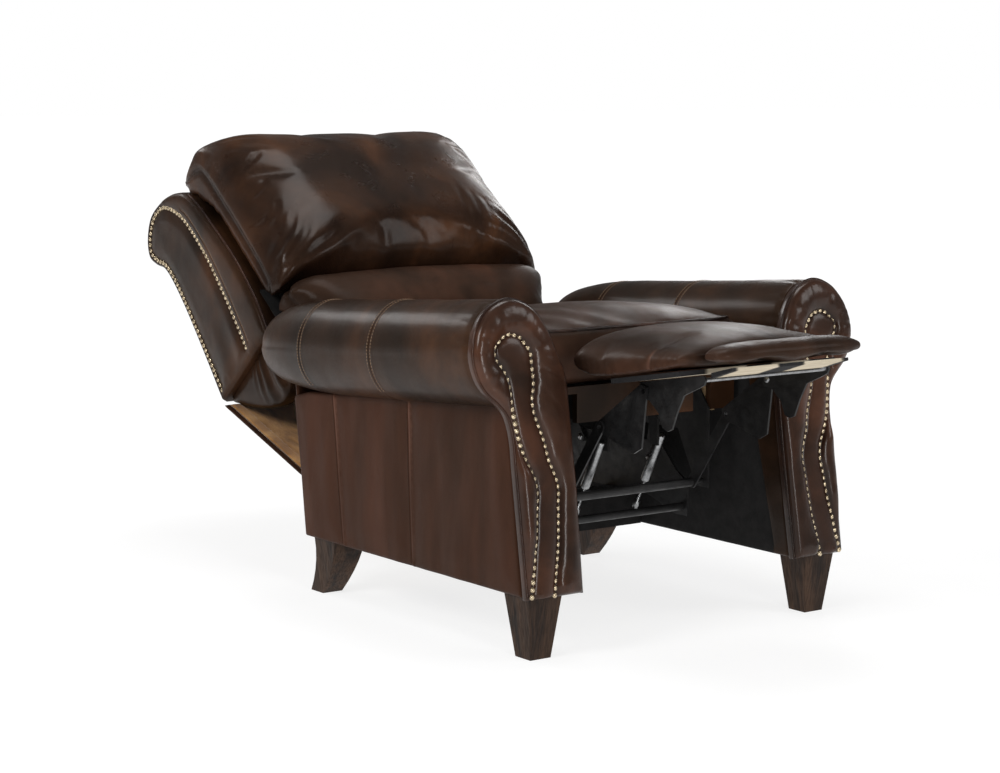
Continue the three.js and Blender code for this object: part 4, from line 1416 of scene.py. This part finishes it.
# ---- seat --------------------------------------------------------------------
SEAT_HALF = 0.256
SEAT_WELT = 0.577                # height of the welt along the front edge


def make_seat_cushion():
    """The seat: a boxed cushion, crowned in the middle, with a welt along front and sides."""
    low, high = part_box("seat_cushion")
    front, rear = low.y - FRONT, high.y - FRONT
    base = low.z
    rings, count = [], 0
    for x in stations(SEAT_HALF, 46):
        full = fullness(SEAT_HALF, x, 0.05)
        crown = 0.022 * math.cos(x / SEAT_HALF * math.pi / 2)
        top = [(front - .002, SEAT_WELT), (front + .03, .583 + crown * .3), (.25, .588 + crown),
               (.36, .580 + crown), (.46, .570 + crown * .8), (.56, .556 + crown * .4),
               (rear - 0.004, .536)]
        under = [(rear - .002, .49), (rear - .02, base + .001), (.36, base), (front + .02, base),
                 (front + .003, base + .012), (front, .53)]
        outline = np.vstack([spline(top, 0.01), under])
        count = count or len(even(outline, 0.0095, True))
        ring = resample(outline, count)
        mid = ring.mean(0)
        ring = mid + (ring - mid) * (1, 0.80 + 0.20 * full)
        rings.append(at_x(x, ring))
    points, faces = loft(rings)
    piece = make("seat_cushion_leather", points, faces, SEAT_HIDE)

    def welt_level(y):
        return np.interp(y, (front, .25, .45, rear), (SEAT_WELT, .572, .558, .530))

    def welt_gap(p):
        """Distance from the sewn edge that runs along the front and both sides."""
        to_front = np.hypot(p[:, 1] - front, p[:, 2] - SEAT_WELT)
        to_side = np.hypot(np.abs(p[:, 0]) - SEAT_HALF, p[:, 2] - welt_level(p[:, 1]))
        return np.minimum(to_front, to_side)

    def held(p):
        return np.maximum(bell(welt_gap(p), 0.009), smooth(base + 0.012, base + 0.004, p[:, 2]))

    stuff(piece, held, 0.0075, 2.5, 0.012)
    points = chair_points(piece)
    top = smooth(0.572, 0.585, points[:, 2])
    slant = points[:, [0, 1]] @ np.array([[0.8], [0.6]])
    streak = np.sin(slant[:, 0] * 60 + 2.5 * np.sin(points[:, 0] * 12 + points[:, 1] * 9))
    depth = 0.0010 * streak * top + 0.0008 * lumps(points * (1.4, 0.8, 1), 12, 7)
    boxing = smooth(front + 0.02, front + 0.004, points[:, 1])
    depth += 0.0010 * boxing * lumps(points * (2.5, 1, 0.7), 22, 2)
    press(piece, points, depth)
    # Rubbed a little lighter on the front boxing; painted shade over the top and in the groove
    # along the welts.
    paint(piece, 0.07 * boxing - 0.18 * top - 0.3 * bell(welt_gap(points), 0.006))
    soften(piece)
    settle(piece, "seat", "cushion_leather", "seat_cushion")
    across = np.linspace(-SEAT_HALF + 0.012, SEAT_HALF - 0.012, 90)
    row = np.column_stack([across, np.full(90, front), np.full(90, SEAT_WELT)])
    welts = [tube(settle_path(snap(piece, row, (0, 1, 0), 0.0012)), 0.0033)]
    for side in (1, -1):
        y = np.linspace(front + 0.012, rear - 0.03, 80)
        row = np.column_stack([np.full(80, side * (SEAT_HALF + .02)), y, welt_level(y)])
        welts.append(tube(settle_path(snap(piece, row, (-side, 0, 0), 0.0012)), 0.0033))
    welt = make("seat_cushion_welt", *gather(welts), WELT_HIDE)
    settle(welt, "seat", "cushion_leather")


def resample(outline, count):
    """A closed outline as this many evenly spaced points."""
    path = np.vstack([outline, outline[:1]])
    along = np.r_[0, np.cumsum(np.linalg.norm(np.diff(path, axis=0), axis=1))]
    at = np.linspace(0, along[-1], count + 1)[:-1]
    return np.stack([np.interp(at, along, path[:, k]) for k in range(path.shape[1])], 1)


def settle_path(path, rounds=4):
    """A path with its small jumps smoothed out."""
    path = np.array(path)
    for _ in range(rounds):
        path[1:-1] = (path[:-2] + 2 * path[1:-1] + path[2:]) / 4
    return path


# ---- footrest ----------------------------------------------------------------
FOOT_HALF = 0.203
FOOT_TOP_LINE = [(-.252, .562), (-.244, .574), (-.200, .586), (-.130, .592), (-.050, .592),
                 (.020, .587), (.056, .576), (.072, .552)]
FOOT_LOW_LINE = [(.068, .524), (.054, .510), (.020, .501), (-.026, .507), (-.130, .524),
                 (-.226, .5405), (-.246, .548)]
FOOT_EDGE = ((-.252, -.158, -.02, .075), (.556, .534, .514, .522))   # Y and Z of the sewn edge


def sewn_level(y):
    """Height of the footrest pad's sewn edge."""
    return np.interp(y, *FOOT_EDGE)


def make_footrest_pad():
    """The footrest's main pad: fat in the middle and drawn in to a sewn edge at both ends."""
    rings = []
    for x in stations(FOOT_HALF, 54):
        share = abs(x) / FOOT_HALF
        full = (1 - share ** 3.2) ** 0.5
        outline = np.vstack([spline(FOOT_TOP_LINE, 0.008), spline(FOOT_LOW_LINE, 0.008)])
        ring = resample(outline, 110)
        line = sewn_level(ring[:, 0])
        above = np.maximum(ring[:, 1] - line, 0) * (0.22 + 0.78 * full)
        below = np.minimum(ring[:, 1] - line, 0) * (0.55 + 0.45 * full)
        ring[:, 1] = line + above + below
        shorten = 1 - 0.05 * share ** 6
        ring[:, 0] = -.09 + (ring[:, 0] + .09) * shorten
        rings.append(at_x(x, ring))
    points, faces = loft(rings)
    piece = make("footrest_pad_leather", points, faces, SEAT_HIDE)

    def held(p):
        below = smooth(-0.004, -0.012, p[:, 2] - sewn_level(p[:, 1]))
        below *= smooth(.192, .180, np.abs(p[:, 0]))
        seam = bell(np.abs(p[:, 1] + .158) + 2 * np.clip(FOOT_HALF - 0.02 - np.abs(p[:, 0]), 0, 1),
                    0.006)
        return np.maximum(below, seam)

    stuff(piece, held, 0.0065, 2.0, 0.007)
    points = chair_points(piece)
    end = smooth(.175, .20, np.abs(points[:, 0]))
    side_seam = np.abs(points[:, 1] + .158)
    gathers = np.sin(points[:, 1] * 260 + 4 * np.sin(points[:, 1] * 31))
    low = smooth(0.03, 0.0, np.abs(points[:, 2] - sewn_level(points[:, 1])))
    depth = end * (0.0035 * bell(side_seam, 0.003) + 0.0009 * gathers * low)
    depth += 0.0012 * lumps(points * (1, 1.6, 1), 11, 1)
    press(piece, points, depth)
    # Rubbed lighter at the ends, most along the side seams; painted shade below the sewn edge, on
    # the underside.
    paint(piece, end * (0.5 * bell(side_seam, 0.0035) + 0.05) - 0.3 * smooth(
        0, -0.02, points[:, 2] - sewn_level(points[:, 1])))
    soften(piece)
    settle(piece, "ottoman", "cushion_leather", "footrest_pad")


FLIPPER_HALF = 0.173


def make_flipper_pad():
    """The small front pad of the footrest: a rounded bolster with pointed ends."""
    profile = spline([(-.263, .547), (-.284, .546), (-.311, .549), (-.329, .558), (-.333, .570),
                      (-.326, .582), (-.305, .588), (-.277, .587), (-.263, .578), (-.260, .562)],
                     0.004, True)
    mid = np.array((-.290, .568))
    rings = []
    for x in stations(FLIPPER_HALF, 60):
        share = abs(x) / FLIPPER_HALF
        full = (1 - share ** 5) ** 0.6
        scallop = 0.011 * bell(abs(x) - 0.072, 0.040) + 0.005 * bell(abs(x) - 0.150, 0.012)
        ring = mid + (profile - mid) * (0.35 + 0.65 * full, 0.18 + 0.82 * full)
        lower = smooth(0.0, -0.02, ring[:, 1] - mid[1])
        ring[:, 1] += scallop * lower
        rings.append(at_x(x, ring))
    points, faces = loft(rings)
    piece = make("flipper_pad_leather", points, faces, SEAT_HIDE)
    points = chair_points(piece)
    end = smooth(.12, .19, np.abs(points[:, 0]))
    depth = 0.0012 * lumps(points * (1.5, 1, 1), 24, 4)
    depth += 0.0014 * end * np.sin(points[:, 0] * 260) * smooth(.575, .555, points[:, 2])
    press(piece, points, depth)
    paint(piece, 0.10 * end)
    soften(piece)
    settle(piece, "flipper", "cushion_leather", "flipper_pad")


# ---- flap behind the seat ----------------------------------------------------
def make_flap():
    """A hinged leather flap, lined with suede on the side that faces up."""
    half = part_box("back_flap")[1].x
    top = np.array((1.0935, .3455))
    foot = np.array((.7735, .2355))
    run = foot - top
    length = np.linalg.norm(run)
    run /= length
    away = np.array((-run[1], run[0]))
    if away[1] < 0:
        away = -away

    def place_at(offset):
        def place(uv, lift):
            spot = top + uv[:, 1:2] * run + (lift[:, None] + offset) * away
            return np.column_stack([uv[:, 0], spot])
        return place

    def height(uv, gap):
        return 0.0016 * waves(uv, 9, 3, 1.3, 2.2) * smooth(0, 0.05, gap) + rounded(gap, 0.0015)

    inset = 0.011
    rim = even([(-half + inset, .004), (half - inset, .004), (half - inset, length - inset),
                (-half + inset, length - inset)], 0.008, True)
    lining = Panel(rim, place_at(0.0022), height, 0.0022, (), 0.014)
    piece = lining.mesh("flap_lining_suede", SUEDE, lambda uv, gap: height(uv, gap) - 0.0022)
    settle(piece, "flap", "lining")
    for word, side in SIDES:
        strip = even([(side * (half - .034), .012), (side * (half - .010), .012),
                      (side * (half - .010), length - .016), (side * (half - .034), length - .016)],
                     0.006, True)
        edge = Panel(strip, place_at(0.0052), lambda uv, gap: height(uv, gap) + rounded(gap, .003),
                     0.004, (), 0.010)
        turned = edge.mesh(f"flap_lining_edge_{word}", SUEDE)
        settle(turned, "flap", "lining")
    rim = even([(-half, 0), (half, 0), (half, length), (-half, length)], 0.008, True)
    cover = Panel(rim, place_at(-0.0005), height, 0.0038, (), 0.014)
    piece = cover.mesh("flap_cover_leather", PANEL_HIDE, lambda uv, gap: height(uv, gap) - 0.0036
                       - 2 * rounded(gap, 0.0015))
    settle(piece, "flap", "arm_leather", "back_flap")


# ---- mechanism ---------------------------------------------------------------
def pin_of(joint):
    spot = PINS[joint]["pos_m"]
    return np.array([0, spot[1] - FRONT, spot[2]])


def make_rivets():
    """A rivet head at each open pivot, on the inner face of the outer link."""
    for word, side in SIDES:
        for body, joint, link in (
                ("footrest_drive", "footrest_drive_pivot", "footrest_lower_link"),
                ("ottoman", "footrest_upper_pivot", "footrest_bracket"),
                ("swing_front", "swing_front_pivot", "swing_link_front"),
                ("swing_rear", "swing_rear_pivot", "swing_link_rear")):
            inner = min(abs(corner.x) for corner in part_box(f"{link}_{word}"))
            spot = pin_of(joint) + (side * inner, 0, 0)
            heads = studs(f"rivets_{body}_{word}", [spot], (-side, 0, 0), 0.0075, 0.0036, ZINC)
            settle(heads, body, "zinc")


def lathe(profile, sides=40):
    """Points and faces of a turned piece about its own z axis, from (radius, height)."""
    turn = np.linspace(0, 2 * math.pi, sides, endpoint=False)
    rings = [np.column_stack([r * np.cos(turn), r * np.sin(turn), np.full(sides, h)])
             for r, h in profile]
    return loft(rings)


GAS_FOOT = (0, .222, .190)       # the open pivot on the stretcher


def make_gas_springs():
    top = pin_of("gas_top_pivot")
    run = np.array(GAS_FOOT) - top
    length = np.linalg.norm(run)
    run /= length
    across = np.array([1.0, 0, 0])
    basis = np.stack([across, np.cross(run, across), run])
    x = abs(middle("gas_cylinder_left").x)
    tube_profile = [(.0035, -.008), (.0078, -.008), (.009, -.0066), (.009, .094), (.0084, .0985),
                    (.0072, .100), (.0046, .100)]
    rod_profile = [(.002, .096), (.0038, .0965), (.0038, length - .030), (.0062, length - .029),
                   (.0062, length - .014), (.003, length - .0125)]
    for word, side in SIDES:
        for name, profile in (("cylinder", tube_profile), ("rod", rod_profile)):
            points, faces = lathe(profile)
            points = points @ basis + top + (side * x, 0, 0)
            piece = make(f"gas_spring_{name}_{word}", points, faces, ZINC)
            settle(piece, f"gas_{name}s", "zinc", f"gas_{name}_{word}")


# ---- studio ------------------------------------------------------------------
CAMERA_AT = (-2.887, -3.415 + FRONT, 1.044)
CAMERA_TURN, CAMERA_DOWN, LENS = 35.93, 7.31, 85.96     # degrees, degrees, millimetres
CHEST = Vector((0, 0.1, 0.45))   # where the lamps point
FLOOR = 60                       # half the floor's side
WORLD_LIGHT = 0.18
LAMPS = (                        # name, place, width and height, watts
    ("strip", (-1.0, -4.2, 1.2), (0.5, 2.0), 44), ("front", (2.4, -3.2, 2.2), (1.4, 1.4), 30),
    ("key", (-3.4, -0.9, 2.6), (1.2, 1.2), 66), ("side", (-1.2, 3.6, 2.7), (1.5, 0.7), 30),
    ("top", (0.2, 0.2, 3.4), (1.5, 1.5), 42), ("rear", (3.0, 2.4, 1.9), (0.7, 1.4), 15))


def make_studio():
    floor = bpy.data.meshes.new("floor")
    corners = [(x * FLOOR, y * FLOOR, 0) for x, y in ((-1, -1), (1, -1), (1, 1), (-1, 1))]
    floor.from_pydata(corners, [], [(0, 1, 2, 3)])
    floor.materials.append(floor_finish())
    ground = bpy.data.objects.new("studio_floor", floor)
    scene.collection.objects.link(ground)

    camera = bpy.data.objects.new("camera", bpy.data.cameras.new("camera"))
    scene.collection.objects.link(camera)
    camera.location = CAMERA_AT
    camera.rotation_euler = (math.radians(90 - CAMERA_DOWN), 0, math.radians(-CAMERA_TURN))
    camera.data.lens = LENS
    camera.data.sensor_width = 36
    scene.camera = camera

    world = bpy.data.worlds.new("studio")
    world.use_nodes = True
    nodes, links = world.node_tree.nodes, world.node_tree.links
    soft = nodes["Background"]
    soft.inputs["Color"].default_value = (1, 1, 1, 1)
    soft.inputs["Strength"].default_value = WORLD_LIGHT
    white = nodes.new("ShaderNodeBackground")
    white.inputs["Color"].default_value = (1, 1, 1, 1)
    seen = nodes.new("ShaderNodeLightPath")
    pick = nodes.new("ShaderNodeMixShader")
    links.new(seen.outputs["Is Camera Ray"], pick.inputs[0])
    links.new(soft.outputs[0], pick.inputs[1])
    links.new(white.outputs[0], pick.inputs[2])
    links.new(pick.outputs[0], nodes["World Output"].inputs[0])
    scene.world = world
    scene.view_settings.view_transform = "Standard"
    for name, spot, size, power in LAMPS:
        lamp = bpy.data.lights.new(name, "AREA")
        lamp.shape = "RECTANGLE"
        lamp.size, lamp.size_y = size
        lamp.energy = power
        light = bpy.data.objects.new(name, lamp)
        scene.collection.objects.link(light)
        light.location = spot
        light.rotation_euler = (CHEST - Vector(spot)).to_track_quat("-Z", "Y").to_euler()


# ---- the chair ---------------------------------------------------------------
dress_frame()
make_arms()
make_back()
make_seat_cushion()
dress("seat_apron", ARM_HIDE, 0.0025, None, 3)
make_footrest_pad()
make_flipper_pad()
make_flap()
make_rivets()
make_gas_springs()
make_studio()
